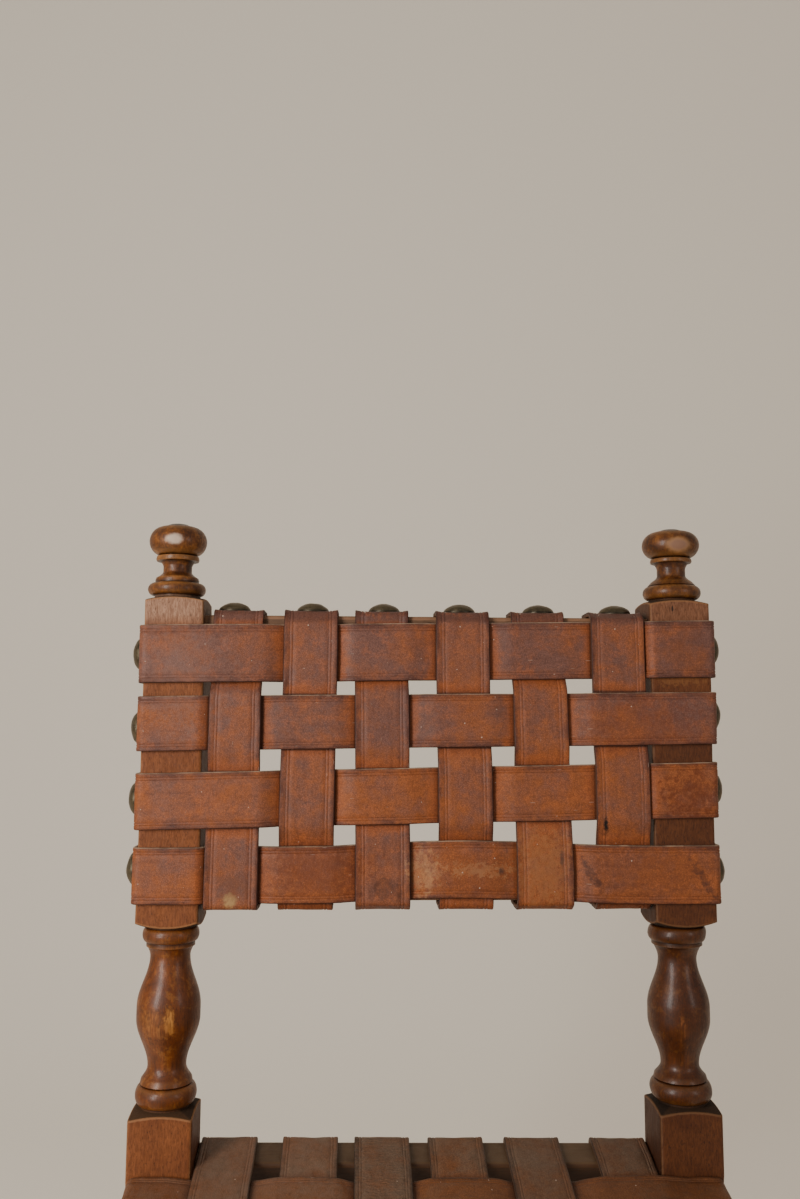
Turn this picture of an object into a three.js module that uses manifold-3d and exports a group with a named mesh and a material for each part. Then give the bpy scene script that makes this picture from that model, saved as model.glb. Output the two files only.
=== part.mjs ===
// A side chair in the Spanish colonial manner: turned hardwood posts with square blocks,
// and a seat and a back woven from flat leather straps held by large domed nails.
// Millimetres. X to the right of someone facing the chair, Y to the back, Z up.

import * as THREE from "three";
import { mergeVertices, toCreasedNormals } from "three/addons/utils/BufferGeometryUtils.js";
import Module from "manifold-3d";

const wasm = await Module();
wasm.setup();

// The plan of the chair. Its width, its depth and the height of its back aren't set here: they
// follow from the straps, the gaps between them and the margins beside them.
const postSide = 48; // the square blank that every post and leg is made from
const seatHeight = 445; // top of the leather where it lies on the seat rails
const fitGap = 0.3; // play between any two pieces that touch

// The back posts, measured up their raked axis from the bend at the seat
const rakeDegrees = 12;
const bendBelowSeat = 5.2; // the bend lies this far under the seat's leather
const lowerBlockHeight = 43;
const balusterHeight = 136; // turned part between the two square blocks
const finialHeight = 61.5;
const lowShoulderDrop = 3; // how far a turned shoulder falls from mid face to the block's edge
const highShoulderDrop = 4.2;

// The rear legs under the bend
const kneeHeight = 366; // above this a rear leg is upright, below it kicks back
const footKick = 34; // how far the rear foot stands behind the post's axis
const footDepth = 42;

// The front legs, measured up from the floor
const turnedFootHeight = 92;
const stretcherBlockHeight = 96;
const frontTurningHeight = 184;
const frontTopRise = 3; // the leg's top stands this much over the leather
const frontTopDome = 4;

// Rails and stretchers
const seatRailHeight = 60;
const seatRailThickness = 29;
const seatRailInset = 5.5; // front and side rails stand back from the legs' outer faces
const backRailHeight = 40;
const backRailThickness = 30;
const topRailDrop = 14; // from the top of the upper block down to the top rail
const bottomRailRise = 19; // from the bottom of the upper block up to the bottom rail
const stretcherWidth = 22;
const stretcherHeight = 34;
const sideStretcherLevel = 118; // height of its middle over the floor
const crossStretcherLevel = 159; // front and rear stretchers
const edgeEase = 2.5; // planed off the long edges of blocks, rails and stretchers
const tenonThickness = 12;
const roundTenonRadius = 8;

// Leather straps
const strapWidth = 42.5;
const strapThickness = 3.5;
const uprightGap = 16.8; // between the upright straps of the back
const rowGap = 15; // between the cross straps of the back
const crossGap = 15; // between the cross straps of the seat
const backSideMargin = 6.5; // from a post to the upright strap beside it
const rowTopMargin = 6.6; // from the top rail's upper edge down to the first cross strap
const seatSideMargin = 3; // from a post's face to the seat's first long strap
const seatEndMargin = 2; // from a post's face to the seat's first cross strap
const weaveRelief = 1; // a strap is clear of another's edge by this before it turns
const midBulge = 5.2; // the free middle of the back stands forward of the rails
const edgeBulge = 2; // the straps by the posts stand forward of those between
const seatSag = 9; // how far the middle of the seat hangs under the rails
const seatWrap = 46; // leather on a seat rail's outer face
const bottomWrap = 34; // leather on the back of the bottom rail
const sideWrap = 34; // leather on a post's outer face
const topWrap = 27; // leather on top of the top rail

// Nails
const nailRadius = 13;
const nailHeight = 8.5;
const shankSide = 4;
const shankLength = 22;
const shankTip = 6;
const sideNailSetback = 16; // from a post's front face back to the nail on its outer face
const seatNailDrop = 25; // from the seat rail's top down to the nail on its outer face
const bottomNailRise = 20; // from the bottom rail's lower edge up to the nail on its back

// Counts of facets
const turnedSides = 16;
const longSweepSteps = 4;
const shortSweepSteps = 2;
const coveSteps = 2;
const beadSteps = 4;
const shoulderSteps = 3;
const stretcherSides = 12;
const nailSides = 8;
const nailRings = 2;
const widestTurn = Math.PI / 4; // a strap bends by at most this at one fold

// Shares chosen by eye from the photographed chair
const tenonDepthShare = 0.4; // of the post
const tenonHeightShare = 0.34; // of the rail, so that two tenons pass one above the other
const highTenonShare = 0.29; // middle of a side rail's tenon, from the rail's top
const lowTenonShare = 0.71; // middle of a front or rear rail's tenon
const topNailShares = [-0.12, 0.01, 0.05, -0.02, 0.085, 0.075]; // of the strap's width, off its middle

// Each strap has one share in its row of the weave: how far it stands off its even place, as a
// share of the gap between straps. The leans and rises are shares of the same gap.
const uprightOffsetShares = [-0.095, -0.24, -0.44, -0.145, -0.085, 0.095];
const uprightLeanShares = [0, -0.1, 0.125, 0.155, 0.215, 0]; // how far the foot leans out
const rowOffsetShares = [0, 0.14, 0.15, 0];
const rowRiseShares = [0.41, 0.33, 0.59, 0.05]; // from the left post to the right post
const longOffsetShares = [-0.045, 0.085, -0.18, -0.345, -0.36, 0.07];
const crossOffsetShares = [0, 0.05, -0.06, 0.04, -0.03, 0];

// Turned outlines. A row is one cut, from the bottom up: its form, how far out it reaches as
// a share of half the blank, and the height it reaches as a share of the turned part. A bead
// bulges out to its share and comes back, a sweep is an S-curve, a cove is a quarter round that
// is upright at its narrow end, and a line is straight.
const balusterShares = [
  ["line", 0.78, 0.02],
  ["bead", 0.99, 0.13],
  ["line", 0.85, 0.136],
  ["line", 0.82, 0.165],
  ["cove", 0.61, 0.245],
  ["sweep", 1, 0.505],
  ["line", 1, 0.53],
  ["sweep", 0.63, 0.815],
  ["cove", 0.74, 0.875],
  ["line", 0.79, 0.88],
  ["line", 0.79, 0.905],
  ["bead", 0.92, 0.985],
];
const finialShares = [
  ["line", 0.76, 0.05],
  ["bead", 0.96, 0.215],
  ["line", 0.71, 0.22],
  ["line", 0.71, 0.285],
  ["cove", 0.475, 0.37],
  ["line", 0.525, 0.49],
  ["line", 0.715, 0.495],
  ["line", 0.715, 0.57],
  ["line", 0.5, 0.58],
  ["bead", 0.96, 0.965],
  ["line", 0.3, 1],
];
const footShares = [
  ["line", 0.6, 0],
  ["sweep", 0.88, 0.25],
  ["sweep", 0.55, 0.62],
  ["line", 0.8, 0.64],
  ["bead", 0.96, 0.84],
  ["line", 0.72, 0.85],
  ["line", 0.72, 0.97],
];
const stretcherShares = [
  ["line", 0.42, 0],
  ["line", 0.42, 0.05],
  ["bead", 0.6, 0.1],
  ["sweep", 0.68, 0.32],
  ["sweep", 0.44, 0.45],
  ["bead", 0.74, 0.55],
  ["sweep", 0.68, 0.68],
  ["sweep", 0.42, 0.9],
  ["bead", 0.6, 0.95],
  ["line", 0.42, 1],
];

// Places that follow from the sizes above
const rake = THREE.MathUtils.degToRad(rakeDegrees);
const halfPost = postSide / 2;
const halfStrap = strapWidth / 2;
const halfThick = strapThickness / 2;
const layerRise = fitGap + halfThick; // from a face to the middle of the leather lying on it
const weaveStep = (strapThickness + fitGap) / 2; // a strap is this far off the weave's middle
const uprightRoom = weaveRoom(uprightOffsetShares.length, uprightGap);
const rowRoom = weaveRoom(rowOffsetShares.length, rowGap);
const crossRoom = weaveRoom(crossOffsetShares.length, crossGap);
const postSpacing = uprightRoom + 2 * backSideMargin + postSide; // between the posts' axes
const legSpacing = crossRoom + 2 * seatEndMargin + postSide; // from rear to front leg
const upperBlockHeight = topRailDrop + rowTopMargin + rowRoom + bottomRailRise;
const cutOver = postSide; // how far a cutter overruns the blank
const tenonDepth = postSide * tenonDepthShare;
const postX = postSpacing / 2;
const innerX = postX - halfPost;
const outerX = postX + halfPost;
const frontY = -legSpacing;
const bendHeight = seatHeight - bendBelowSeat;
const bendShift = halfPost * Math.tan(rake / 2);
const upperBlockBottom = lowerBlockHeight + balusterHeight;
const upperBlockTop = upperBlockBottom + upperBlockHeight;
const postTop = upperBlockTop + finialHeight;
const topRailTop = upperBlockTop - topRailDrop;
const bottomRailBottom = upperBlockBottom + bottomRailRise;
const seatRailTop = seatHeight - strapThickness - fitGap;
const sideRailX = outerX - seatRailInset - seatRailThickness / 2;
const rearRailY = halfPost - seatRailThickness / 2;
const frontRailY = frontY - halfPost + seatRailInset + seatRailThickness / 2;
const stretcherBlockTop = turnedFootHeight + stretcherBlockHeight;
const frontLegTop = seatHeight + frontTopRise;
const rakeMatrix = new THREE.Matrix4().makeRotationX(-rake).setPosition(0, 0, bendHeight);
const sideways = new THREE.Matrix4().makeBasis(
  new THREE.Vector3(0, 1, 0),
  new THREE.Vector3(0, 0, 1),
  new THREE.Vector3(1, 0, 0),
);

// A closed geometry as a solid, turned right side out
function solidFrom(geometry) {
  const bare = new THREE.BufferGeometry();
  bare.setAttribute("position", geometry.getAttribute("position"));
  bare.setIndex(geometry.getIndex());
  const merged = mergeVertices(bare);
  const corners = merged.getIndex().array;
  const faces = [];
  for (let i = 0; i < corners.length; i += 3) {
    const [a, b, c] = corners.slice(i, i + 3);
    if (a !== b && b !== c && c !== a) faces.push(a, b, c);
  }
  const vertProperties = new Float32Array(merged.getAttribute("position").array);
  const solidOf = (triVerts) =>
    new wasm.Manifold(new wasm.Mesh({ numProp: 3, vertProperties, triVerts }));
  const solid = solidOf(new Uint32Array(faces));
  return solid.volume() > 0 ? solid : solidOf(new Uint32Array(faces.reverse()));
}

// A solid as a geometry with its sharp edges kept sharp
function geometryFrom(solid) {
  const { vertProperties, triVerts } = solid.getMesh();
  const geometry = new THREE.BufferGeometry();
  geometry.setAttribute("position", new THREE.BufferAttribute(vertProperties, 3));
  geometry.setIndex(new THREE.BufferAttribute(triVerts, 1));
  return toCreasedNormals(geometry, Math.PI / 5);
}

// A box between two corners, grown on every side by a clearance where it is a cutter
function block(low, high, clearance = 0, matrix = new THREE.Matrix4()) {
  const size = high.map((value, axis) => value - low[axis] + 2 * clearance);
  const middle = high.map((value, axis) => (value + low[axis]) / 2);
  const geometry = new THREE.BoxGeometry(...size).translate(...middle);
  return solidFrom(geometry.applyMatrix4(matrix));
}

function subtractAll(solid, cutters) {
  return cutters.reduce((rest, cutter) => rest.subtract(cutter), solid);
}

// A rectangle with its corners planed off
function easedRectangle(width, height) {
  const x = width / 2;
  const y = height / 2;
  const shape = new THREE.Shape();
  shape.moveTo(x - edgeEase, -y);
  shape.lineTo(x, -y + edgeEase);
  shape.lineTo(x, y - edgeEase);
  shape.lineTo(x - edgeEase, y);
  shape.lineTo(-x + edgeEase, y);
  shape.lineTo(-x, y - edgeEase);
  shape.lineTo(-x, -y + edgeEase);
  shape.lineTo(-x + edgeEase, -y);
  return shape;
}

// A bar of eased section that runs up from the origin
function bar(width, depth, length) {
  return new THREE.ExtrudeGeometry(easedRectangle(width, depth), {
    depth: length,
    bevelEnabled: false,
  });
}

// A piece sawn to a side outline of (y, z) points, with its long edges eased
function sawn(outline, thickness, x) {
  const shape = new THREE.Shape(outline.map(([y, z]) => new THREE.Vector2(y, z)));
  const depth = thickness - 2 * edgeEase;
  const geometry = new THREE.ExtrudeGeometry(shape, {
    depth,
    bevelThickness: edgeEase,
    bevelSize: edgeEase,
    bevelOffset: -edgeEase,
    bevelSegments: 1,
  });
  return solidFrom(geometry.applyMatrix4(sideways).translate(x - depth / 2, 0, 0));
}

// A solid of revolution about the Z axis
function turned(points, sides = turnedSides) {
  return solidFrom(new THREE.LatheGeometry(points, sides).rotateX(Math.PI / 2));
}

// The points of a turned outline, read from its rows of shares
function outlinePoints(rows, base, length) {
  const points = [];
  let last = null;
  for (const [form, radiusShare, heightShare] of rows) {
    const reach = radiusShare * halfPost;
    const next = new THREE.Vector2(reach, base + heightShare * length);
    if (form === "bead") {
      const middle = (last.y + next.y) / 2;
      for (let step = 1; step <= beadSteps; step++) {
        const angle = (step / beadSteps - 1 / 2) * Math.PI;
        const out = last.x + (reach - last.x) * Math.cos(angle);
        points.push(new THREE.Vector2(out, middle + (next.y - middle) * Math.sin(angle)));
      }
      next.x = last.x;
    } else if (form === "sweep") {
      const steps = next.y - last.y > halfPost ? longSweepSteps : shortSweepSteps;
      for (let step = 1; step <= steps; step++) {
        const share = step / steps;
        const ease = (1 - Math.cos(share * Math.PI)) / 2;
        const out = THREE.MathUtils.lerp(last.x, next.x, ease);
        points.push(new THREE.Vector2(out, THREE.MathUtils.lerp(last.y, next.y, share)));
      }
    } else if (form === "cove") {
      for (let step = 1; step <= coveSteps; step++) {
        const share = step / coveSteps;
        const quarter = (share * Math.PI) / 2;
        const ease = next.x < last.x ? Math.sin(quarter) : 1 - Math.cos(quarter);
        const out = THREE.MathUtils.lerp(last.x, next.x, ease);
        points.push(new THREE.Vector2(out, THREE.MathUtils.lerp(last.y, next.y, share)));
      }
    } else {
      points.push(next);
    }
    last = next;
  }
  return points;
}

// The rounded shoulder where turning runs out into a square block. The turned part lies
// above the block where side is 1 and below it where side is -1.
function shoulder(level, drop, side) {
  const points = [];
  for (let step = 0; step <= shoulderSteps; step++) {
    const radius = THREE.MathUtils.lerp(cutOver, halfPost * balusterShares[0][1], step / shoulderSteps);
    const fall = drop * ((radius / halfPost) ** 2 - 1);
    points.push(new THREE.Vector2(radius, level - side * fall));
  }
  return side > 0 ? points : points.reverse();
}

// The baluster's outline between two square blocks
function balusterOutline(bottom, length) {
  return [
    ...shoulder(bottom, lowShoulderDrop, 1),
    ...outlinePoints(balusterShares, bottom, length),
    ...shoulder(bottom + length, highShoulderDrop, -1),
  ];
}

// A round bar's outline, as long each way from the middle as its reach
function pegOutline(reach, radius) {
  return [
    new THREE.Vector2(0, -reach),
    new THREE.Vector2(radius, -reach),
    new THREE.Vector2(radius, reach),
    new THREE.Vector2(0, reach),
  ];
}

// A turning that lies across the chair between the front legs
function acrossTurning(points) {
  const lying = new THREE.LatheGeometry(points, stretcherSides).rotateZ(-Math.PI / 2);
  return solidFrom(lying.translate(0, frontY, crossStretcherLevel));
}

// The ring of waste that the turner takes off round an outline
function waste(points) {
  return turned([...points, points[0]]);
}

// The room that some straps take up side by side, with the same gap between each two
function weaveRoom(straps, gap) {
  return straps * strapWidth + (straps - 1) * gap;
}

// The gap left between straps that share out a room, and where the middle of each lies
function strapGap(from, to, straps) {
  return (Math.abs(to - from) - straps * strapWidth) / (straps - 1);
}

function strapPlaces(from, to, offsetShares) {
  const direction = Math.sign(to - from);
  const gap = strapGap(from, to, offsetShares.length);
  return offsetShares.map((share, index) => {
    return from + direction * (halfStrap + index * (strapWidth + gap)) + share * gap;
  });
}

const uprightPlaces = strapPlaces(-innerX + backSideMargin, innerX - backSideMargin, uprightOffsetShares);
const rowPlaces = strapPlaces(topRailTop - rowTopMargin, bottomRailBottom, rowOffsetShares);
const longPlaces = strapPlaces(-innerX + seatSideMargin, innerX - seatSideMargin, longOffsetShares);
const rearmost = -halfPost - seatEndMargin;
const foremost = frontY + halfPost + seatEndMargin;
const crossPlaces = strapPlaces(rearmost, foremost, crossOffsetShares);

// The middle of an upright strap at a height on the back, and of a cross strap at an x
function uprightX(upright, height) {
  const share = (rowPlaces[0] - height) / (rowPlaces[0] - rowPlaces.at(-1));
  const lean = uprightLeanShares[upright] * uprightGap;
  return uprightPlaces[upright] + lean * THREE.MathUtils.clamp(share, 0, 1);
}

function rowHeight(row, x) {
  const rise = rowRiseShares[row] * rowGap;
  return rowPlaces[row] + (rise * THREE.MathUtils.clamp(x, -outerX, outerX)) / postSpacing;
}

// How far forward of the posts' axes the middle of the weave lies at one crossing
function weaveOut(row, upright) {
  const endRow = row === 0 || row === rowPlaces.length - 1;
  const endUpright = upright === 0 || upright === uprightPlaces.length - 1;
  const bulge = endRow ? (endUpright ? edgeBulge : 0) : endUpright ? midBulge : midBulge / 2;
  return backRailThickness / 2 + layerRise + weaveStep + bulge;
}

// How far the woven seat hangs under the rails at a point
function seatHang(x, y) {
  const halfWidth = sideRailX - seatRailThickness / 2;
  const back = rearRailY - seatRailThickness / 2;
  const front = frontRailY + seatRailThickness / 2;
  const across = THREE.MathUtils.clamp(x / halfWidth, -1, 1);
  const along = THREE.MathUtils.clamp((2 * y - back - front) / (back - front), -1, 1);
  return seatSag * (1 - across ** 2) * (1 - along ** 2);
}

// A strap is pulled tight over a row of guides in a plane. A guide is a round edge, or a
// point where its radius is zero. The outer face is on the left of the way the strap runs.
function guide(along, out, radius = 0) {
  return { centre: new THREE.Vector2(along, out), radius };
}

function tangentNormal(from, to) {
  const way = to.centre.clone().sub(from.centre);
  const tilt = (from.radius - to.radius) / way.length();
  way.normalize();
  const left = new THREE.Vector2(-way.y, way.x);
  return way.multiplyScalar(tilt).add(left.multiplyScalar(Math.sqrt(1 - tilt ** 2)));
}

function tautPath(guides) {
  const normals = guides.slice(1).map((next, index) => tangentNormal(guides[index], next));
  const path = [guides[0].centre];
  for (let index = 1; index < guides.length - 1; index++) {
    const { centre, radius } = guides[index];
    const arriving = normals[index - 1];
    const leaving = normals[index];
    const turn = Math.atan2(leaving.cross(arriving), leaving.dot(arriving));
    const folds = radius ? Math.max(1, Math.ceil(turn / widestTurn - Number.EPSILON)) : 1;
    for (let fold = 0; fold < folds; fold++) {
      const angle = arriving.angle() - (turn * (fold + 1 / 2)) / folds;
      const reach = radius / Math.cos(turn / folds / 2);
      path.push(new THREE.Vector2(Math.cos(angle), Math.sin(angle)).multiplyScalar(reach).add(centre));
    }
  }
  path.push(guides.at(-1).centre);
  return path;
}

// A strap's solid: its path made as thick as the leather, then set in space edge by edge
function strap(guides, place) {
  const path = tautPath(guides);
  const lefts = path.slice(1).map((point, index) => {
    const way = point.clone().sub(path[index]).normalize();
    return new THREE.Vector2(-way.y, way.x);
  });
  const positions = [];
  path.forEach((point, index) => {
    const before = lefts[Math.max(index - 1, 0)];
    const after = lefts[Math.min(index, lefts.length - 1)];
    const normal = before.clone().add(after).normalize();
    const reach = halfThick / normal.dot(before);
    const inner = point.clone().addScaledVector(normal, -reach);
    const outer = point.clone().addScaledVector(normal, reach);
    positions.push(...place(inner, -halfStrap), ...place(inner, halfStrap));
    positions.push(...place(outer, halfStrap), ...place(outer, -halfStrap));
  });
  const faces = [];
  const quad = (a, b, c, d) => faces.push(a, b, c, a, c, d);
  for (let ring = 0; ring < path.length - 1; ring++) {
    const [a, b, c, d] = [0, 1, 2, 3].map((corner) => ring * 4 + corner);
    quad(b, b + 4, a + 4, a); // both broad faces are split along the same diagonal
    quad(b, c, c + 4, b + 4);
    quad(c, d, d + 4, c + 4);
    quad(d, a, a + 4, d + 4);
  }
  quad(3, 2, 1, 0);
  const last = (path.length - 1) * 4;
  quad(last, last + 1, last + 2, last + 3);
  const geometry = new THREE.BufferGeometry();
  geometry.setAttribute("position", new THREE.Float32BufferAttribute(positions, 3));
  geometry.setIndex(faces);
  return solidFrom(geometry);
}

// The guides of one crossing: over the other strap's two edges, or straight behind it
function crossingGuides(middle, out, over) {
  const reach = halfStrap + weaveRelief;
  const level = over ? out + weaveStep : out - weaveStep;
  const radius = over ? layerRise : 0;
  return [middle - reach, middle + reach].map((along) => guide(along, level - radius, radius));
}

// The round edge of a rail or post that a strap turns over
function edgeGuide(along, out, alongSide, outSide) {
  const centre = [along - alongSide * edgeEase, out - outSide * edgeEase];
  return guide(...centre, edgeEase + layerRise);
}

// A domed nail that points down the Z axis, with the underside of its head at the origin
function nailSolid() {
  const dome = [new THREE.Vector2(0, 0)];
  for (let ring = 0; ring < nailRings; ring++) {
    const angle = (ring / nailRings) * (Math.PI / 2);
    dome.push(new THREE.Vector2(nailRadius * Math.cos(angle), nailHeight * Math.sin(angle)));
  }
  dome.push(new THREE.Vector2(0, nailHeight));
  const halfDiagonal = shankSide / Math.SQRT2;
  const shank = [
    new THREE.Vector2(0, -shankLength),
    new THREE.Vector2(halfDiagonal, shankTip - shankLength),
    new THREE.Vector2(halfDiagonal, nailHeight / 2),
    new THREE.Vector2(0, nailHeight / 2),
  ];
  const squareShank = new THREE.LatheGeometry(shank, 4).rotateX(Math.PI / 2).rotateZ(Math.PI / 4);
  return turned(dome, nailSides).add(solidFrom(squareShank));
}

// Where a nail goes: the point on the face it is driven into, and the way its head looks
const outward = {
  left: new THREE.Euler(0, -Math.PI / 2, 0),
  right: new THREE.Euler(0, Math.PI / 2, 0),
  front: new THREE.Euler(Math.PI / 2, 0, 0),
  rear: new THREE.Euler(-Math.PI / 2, 0, 0),
  up: new THREE.Euler(0, 0, 0),
};

function nailMatrix(point, way, lift) {
  const turn = new THREE.Quaternion().setFromEuler(outward[way]);
  const raised = new THREE.Vector3(0, 0, lift).applyQuaternion(turn).add(new THREE.Vector3(...point));
  return new THREE.Matrix4().compose(raised, turn, new THREE.Vector3(1, 1, 1));
}

// The square hole that takes a nail's shank through leather and wood
function nailHole(point, way, matrix = new THREE.Matrix4()) {
  const half = shankSide / 2;
  const placed = nailMatrix(point, way, 0).premultiply(matrix);
  return block([-half, -half, -shankLength], [half, half, nailHeight], fitGap, placed);
}

// Nails of the back, in the raked frame of the back: x, depth behind the posts' axes, height
function sideNailPoint(row, side) {
  return [side * outerX, sideNailSetback - halfPost, rowHeight(row, side * outerX)];
}

function topNailPoint(upright) {
  const offset = topNailShares[upright] * strapWidth;
  return [uprightX(upright, topRailTop) + offset, 0, topRailTop];
}

function rearNailPoint(upright) {
  const x = uprightX(upright, bottomRailBottom);
  return [x, backRailThickness / 2, bottomRailBottom + bottomNailRise];
}

// Tenons as pairs of corners. Those of the back are in its raked frame.
function backRailTenon(bottom, side) {
  const half = tenonThickness / 2;
  const heights = [bottom + edgeEase + half, bottom + backRailHeight - edgeEase - half];
  return acrossTenon(side, [-half, half], heights);
}

function acrossTenon(side, depths, heights) {
  const ends = [side * (innerX - tenonDepth), side * (innerX + tenonDepth)].sort((a, b) => a - b);
  return [
    [ends[0], depths[0], heights[0]],
    [ends[1], depths[1], heights[1]],
  ];
}

function railTenonHeights(middleShare) {
  const middle = seatRailTop - middleShare * seatRailHeight;
  const half = (tenonHeightShare * seatRailHeight) / 2;
  return [middle - half, middle + half];
}

function crossRailTenon(railY, side) {
  const depths = [railY - tenonThickness / 2, railY + tenonThickness / 2];
  return acrossTenon(side, depths, railTenonHeights(lowTenonShare));
}

// A tenon that runs along Y into a leg's face
function alongTenon(x, faceY, heights) {
  return [
    [x - tenonThickness / 2, faceY - tenonDepth, heights[0]],
    [x + tenonThickness / 2, faceY + tenonDepth, heights[1]],
  ];
}

function stretcherTenonHeights(level) {
  const half = stretcherHeight / 2 - tenonThickness / 2;
  return [level - half, level + half];
}

// The rear leg's front face and middle at a height under the knee
function rearLegFront(height) {
  const share = height / kneeHeight;
  return THREE.MathUtils.lerp(footKick - footDepth / 2, -halfPost, share);
}

function rearLegMiddle(height) {
  return THREE.MathUtils.lerp(footKick, 0, height / kneeHeight);
}

function rearStretcherTenon(side) {
  const middle = rearLegMiddle(crossStretcherLevel);
  const depths = [middle - tenonThickness / 2, middle + tenonThickness / 2];
  return acrossTenon(side, depths, stretcherTenonHeights(crossStretcherLevel));
}

function sideStretcherTenons(side) {
  const heights = stretcherTenonHeights(sideStretcherLevel);
  return [
    alongTenon(side * postX, frontY + halfPost, heights),
    alongTenon(side * postX, rearLegFront(sideStretcherLevel), heights),
  ];
}

function sideRailTenons(side) {
  const heights = railTenonHeights(highTenonShare);
  return [
    alongTenon(side * sideRailX, frontY + halfPost, heights),
    alongTenon(side * sideRailX, -halfPost, heights),
  ];
}

// A back post: sawn to its bent side outline, turned in two places, then mortised
function backPost(side) {
  const up = (depth, height) => {
    const point = new THREE.Vector3(0, depth, height).applyMatrix4(rakeMatrix);
    return [point.y, point.z];
  };
  const blank = sawn(
    [
      [footKick - footDepth / 2, 0],
      [footKick + footDepth / 2, 0],
      [halfPost, kneeHeight],
      [halfPost, bendHeight - bendShift],
      up(halfPost, postTop),
      up(-halfPost, postTop),
      [-halfPost, bendHeight + bendShift],
      [-halfPost, kneeHeight],
    ],
    postSide,
    side * postX,
  );
  const finial = [
    ...shoulder(upperBlockTop, lowShoulderDrop, 1),
    ...outlinePoints(finialShares, upperBlockTop, finialHeight),
  ];
  const tip = finial.at(-1);
  finial.push(new THREE.Vector2(tip.x, tip.y + cutOver));
  finial.push(new THREE.Vector2(cutOver, tip.y + cutOver));
  const onPost = (ring) => ring.translate(side * postX, 0, 0);
  const raked = (solid) => solid.rotate(-rakeDegrees, 0, 0).translate(0, 0, bendHeight);
  const cutters = [
    raked(onPost(waste(balusterOutline(lowerBlockHeight, balusterHeight)))),
    raked(onPost(waste(finial))),
    block(...backRailTenon(topRailTop - backRailHeight, side), fitGap, rakeMatrix),
    block(...backRailTenon(bottomRailBottom, side), fitGap, rakeMatrix),
    block(...crossRailTenon(rearRailY, side), fitGap),
    block(...sideRailTenons(side)[1], fitGap),
    block(...rearStretcherTenon(side), fitGap),
    block(...sideStretcherTenons(side)[1], fitGap),
  ];
  rowPlaces.forEach((_, row) => {
    cutters.push(nailHole(sideNailPoint(row, side), side < 0 ? "left" : "right", rakeMatrix));
  });
  return subtractAll(blank, cutters);
}

// A front leg: a square blank turned between its blocks, with a domed top
function frontLeg(side) {
  const blank = solidFrom(bar(postSide, postSide, frontLegTop));
  const foot = [
    new THREE.Vector2(cutOver, -cutOver),
    new THREE.Vector2(halfPost * footShares[0][1], -cutOver),
    ...outlinePoints(footShares, 0, turnedFootHeight),
    ...shoulder(turnedFootHeight, highShoulderDrop, -1),
  ];
  const overTop = frontLegTop + cutOver;
  const crown = [new THREE.Vector2(cutOver, overTop), new THREE.Vector2(0, overTop)];
  for (let step = 0; step <= shoulderSteps; step++) {
    const radius = (cutOver * step) / shoulderSteps;
    crown.push(new THREE.Vector2(radius, frontLegTop - frontTopDome * (radius / halfPost) ** 2));
  }
  const leg = subtractAll(blank, [
    waste(foot),
    waste(balusterOutline(stretcherBlockTop, frontTurningHeight)),
    waste(crown),
  ]).translate(side * postX, frontY, 0);
  const peg = acrossTurning(pegOutline(tenonDepth + fitGap, roundTenonRadius + fitGap));
  return subtractAll(leg, [
    block(...crossRailTenon(frontRailY, side), fitGap),
    block(...sideRailTenons(side)[0], fitGap),
    block(...sideStretcherTenons(side)[0], fitGap),
    peg.translate(side * innerX, 0, 0),
  ]);
}

// A bar across the chair between two posts, with a tenon at each end
function acrossBar(depthSize, heightSize, depthPlace, heightPlace, tenons) {
  const length = 2 * (innerX - fitGap);
  const body = bar(heightSize, depthSize, length).rotateY(Math.PI / 2);
  body.translate(-length / 2, depthPlace, heightPlace);
  return tenons.reduce((rail, tenon) => rail.add(block(...tenon)), solidFrom(body));
}

function backRail(bottom, holes) {
  const tenons = [-1, 1].map((side) => backRailTenon(bottom, side));
  const middle = bottom + backRailHeight / 2;
  const rail = acrossBar(backRailThickness, backRailHeight, 0, middle, tenons);
  return subtractAll(rail, holes);
}

function crossSeatRail(railY, way, faceY) {
  const tenons = [-1, 1].map((side) => crossRailTenon(railY, side));
  const middle = seatRailTop - seatRailHeight / 2;
  const rail = acrossBar(seatRailThickness, seatRailHeight, railY, middle, tenons);
  const holes = longPlaces.map((x) => nailHole([x, faceY, seatRailTop - seatNailDrop], way));
  return subtractAll(rail, holes);
}

function sideSeatRail(side) {
  const from = frontY + halfPost + fitGap;
  const length = -halfPost - fitGap - from;
  const body = bar(seatRailThickness, seatRailHeight, length).rotateX(-Math.PI / 2);
  body.translate(side * sideRailX, from, seatRailTop - seatRailHeight / 2);
  const face = side * (sideRailX + seatRailThickness / 2);
  const way = side < 0 ? "left" : "right";
  const rail = sideRailTenons(side).reduce((joined, tenon) => joined.add(block(...tenon)), solidFrom(body));
  const holes = crossPlaces.map((y) => nailHole([face, y, seatRailTop - seatNailDrop], way));
  return subtractAll(rail, holes);
}

function sideStretcher(side) {
  const low = sideStretcherLevel - stretcherHeight / 2;
  const high = sideStretcherLevel + stretcherHeight / 2;
  const from = frontY + halfPost + fitGap;
  const outline = [
    [from, low],
    [rearLegFront(low) - fitGap, low],
    [rearLegFront(high) - fitGap, high],
    [from, high],
  ];
  const body = sawn(outline, stretcherWidth, side * postX);
  return sideStretcherTenons(side).reduce((joined, tenon) => joined.add(block(...tenon)), body);
}

function rearStretcher() {
  const tenons = [-1, 1].map(rearStretcherTenon);
  const middle = rearLegMiddle(crossStretcherLevel);
  return acrossBar(stretcherWidth, stretcherHeight, middle, crossStretcherLevel, tenons);
}

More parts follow.
